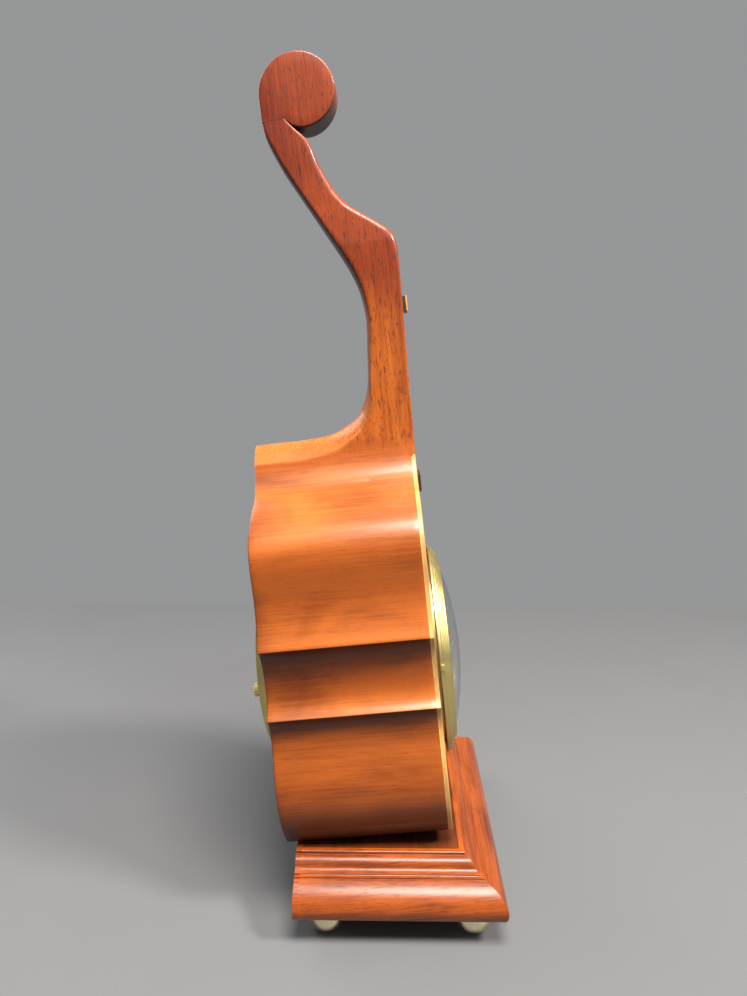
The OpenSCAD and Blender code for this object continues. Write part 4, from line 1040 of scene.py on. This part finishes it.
class TIMEPIECE_OT_dial(bpy.types.Operator):
    """Fires the dial, paints its numerals and minute track, and finishes the hands"""
    bl_idname = "timepiece.dial"
    bl_label = "Dial and hands"
    bl_options = {"REGISTER", "UNDO"}

    FACE = -30.1
    TRACK_IN, TRACK_OUT, TRACK_LINE = 38.3, 40.9, 0.16     # the minute track's two circles
    NUMERAL_FOOT = 30.2                                    # radius of the numerals' feet
    WEIGHTS = {"thick": 0.95, "thin": 0.3, "serif": 0.22}  # widths of the strokes
    NARROW = 0.55                                          # letter width to letter height
    # The strokes of each letter: thick or thin, and the ends of its middle line in letter units.
    LETTERS = {
        "I": (0.55, (("thick", (0, 0), (0, 1)),)),
        "V": (0.95, (("thick", (-0.32, 1), (0, 0)), ("thin", (0.32, 1), (0, 0)))),
        "X": (0.95, (("thick", (-0.32, 1), (0.32, 0)), ("thin", (0.32, 1), (-0.32, 0)))),
    }
    HOURS = ("XII", "I", "II", "III", "IIII", "V", "VI", "VII", "VIII", "IX", "X", "XI")

    def execute(self, context):
        face, rim, seat = self.FACE, 44.5, -28.6
        profile = [(2.6, seat), (2.6, face - 0.25), (18.5, face - 0.25), (18.9, face - 0.2),
                   (19.1, face - 0.02), (19.4, face), (rim - 1.2, face), (rim - 0.3, face + 0.15),
                   (rim, face + 0.5), (rim, seat)]
        Shape().turned(profile, 144).piece(
            "dial_plate", finish("enamel"), "case", "enamel", ["dial"])
        sizes = context.scene.timepiece_sizes
        marks = Shape()
        depths = (face + GAP, face - sizes.mark / MM)
        bottom, top = depths
        for radius in (self.TRACK_OUT, self.TRACK_IN):
            outside = radius + self.TRACK_LINE
            marks.turned([(radius, bottom), (radius, top), (outside, top), (outside, bottom)], 144)
        for minute in range(60):
            wide = 0.84 if minute % 5 == 0 else 0.24
            ends = ((0, self.TRACK_IN + 0.1), (0, self.TRACK_OUT + 0.05))
            self.stroke(marks, minute / 60, ends, wide, depths)
        tall, foot = sizes.numeral / MM, self.NUMERAL_FOOT
        for hour, letters in enumerate(self.HOURS):
            widths = [self.LETTERS[k][0] * tall / 2 for k in letters]
            at = -sum(widths) / 2
            for k, width in zip(letters, widths):
                middle = at + width / 2
                for weight, *ends in self.LETTERS[k][1]:
                    line = [(middle + x * tall * self.NARROW, foot + z * tall) for x, z in ends]
                    self.stroke(marks, hour / 12, line, self.WEIGHTS[weight], depths)
                spread = tall * (0.17 if k == "I" else 0.30)
                for z in (foot, foot + tall):
                    serif = ((middle - spread, z), (middle + spread, z))
                    self.stroke(marks, hour / 12, serif, self.WEIGHTS["serif"], depths)
                at += width
        marks.piece("dial_marks", finish("dial_black"), "case", "enamel")
        dress(finish("blued_steel"), "hour_hand", "minute_hand", ease=0.12)
        dress(finish("movement_brass"), "hand_nut", "dial_feet")
        return {"FINISHED"}

    def stroke(self, marks, turn, ends, wide, depths):
        """A bar between two points given for twelve o'clock, turned clockwise to its hour."""
        a, b = map(Vector, ends)
        run = (b - a).normalized() * wide / 2
        side = Vector((-run.y, run.x))
        c, s = math.cos(math.tau * turn), math.sin(math.tau * turn)
        outline = [(p.x * c + p.y * s, DIAL_Z - p.x * s + p.y * c)
                   for p in (a + side, a - side, b - side, b + side)]
        marks.slab(outline, *depths)


class TIMEPIECE_OT_rear_door(bpy.types.Operator):
    """Finishes the rear door, its ring and its latch"""
    bl_idname = "timepiece.rear_door"
    bl_label = "Rear door"
    bl_options = {"REGISTER", "UNDO"}

    def execute(self, context):
        dress(finish("aged_brass"), "rear_ring", "rear_door", "rear_hinge_pin", "rear_latch")
        return {"FINISHED"}


class TIMEPIECE_OT_movement(bpy.types.Operator):
    """Finishes the plates, the train, the balance and the motion work"""
    bl_idname = "timepiece.movement"
    bl_label = "Movement"
    bl_options = {"REGISTER", "UNDO"}

    def execute(self, context):
        dress(finish("movement_brass"), "front_plate", "back_plate", "pillars", "balance_cock",
              ease=0.15)
        dress(finish("movement_brass"), "barrel", "barrel_cover", "centre_wheel", "third_wheel",
              "fourth_wheel", "balance", "minute_wheel", "hour_wheel")
        dress(finish("steel"), "winding_arbor", "ratchet_wheel", "click", "escape_wheel",
              "pallet_lever", "regulator", "cannon_pinion", "minute_stud")
        dress(finish("blued_steel"), "pillar_screws", "mainspring", "click_spring", "hairspring")
        return {"FINISHED"}


class TIMEPIECE_PT_panel(bpy.types.Panel):
    """Lists what the add-on builds"""
    bl_label = "Cello Timepiece"
    bl_idname = "TIMEPIECE_PT_panel"
    bl_space_type = "VIEW_3D"
    bl_region_type = "UI"
    bl_category = "Timepiece"

    def draw(self, context):
        for maker in MAKERS:
            self.layout.operator(maker.bl_idname)
        for group in (context.scene.timepiece_sizes, context.scene.timepiece_colours):
            box = self.layout.box()
            for name in group.bl_rna.properties.keys():
                if name not in ("rna_type", "name"):
                    box.prop(group, name)


MAKERS = (
    TIMEPIECE_OT_stage, TIMEPIECE_OT_plinth, TIMEPIECE_OT_feet, TIMEPIECE_OT_case,
    TIMEPIECE_OT_neck, TIMEPIECE_OT_front_door, TIMEPIECE_OT_dial, TIMEPIECE_OT_rear_door,
    TIMEPIECE_OT_movement,
)
GROUPS = (TimepieceSizes, TimepieceColours)


def register():
    for item in (*GROUPS, *MAKERS, TIMEPIECE_PT_panel):
        bpy.utils.register_class(item)
    bpy.types.Scene.timepiece_sizes = bpy.props.PointerProperty(type=TimepieceSizes)
    bpy.types.Scene.timepiece_colours = bpy.props.PointerProperty(type=TimepieceColours)


def unregister():
    del bpy.types.Scene.timepiece_colours
    del bpy.types.Scene.timepiece_sizes
    for item in reversed((*GROUPS, *MAKERS, TIMEPIECE_PT_panel)):
        bpy.utils.unregister_class(item)


def main():
    """Builds everything in order."""
    register()
    for maker in MAKERS:
        group, name = maker.bl_idname.split(".")
        getattr(getattr(bpy.ops, group), name)()


if __name__ == "__main__":
    main()
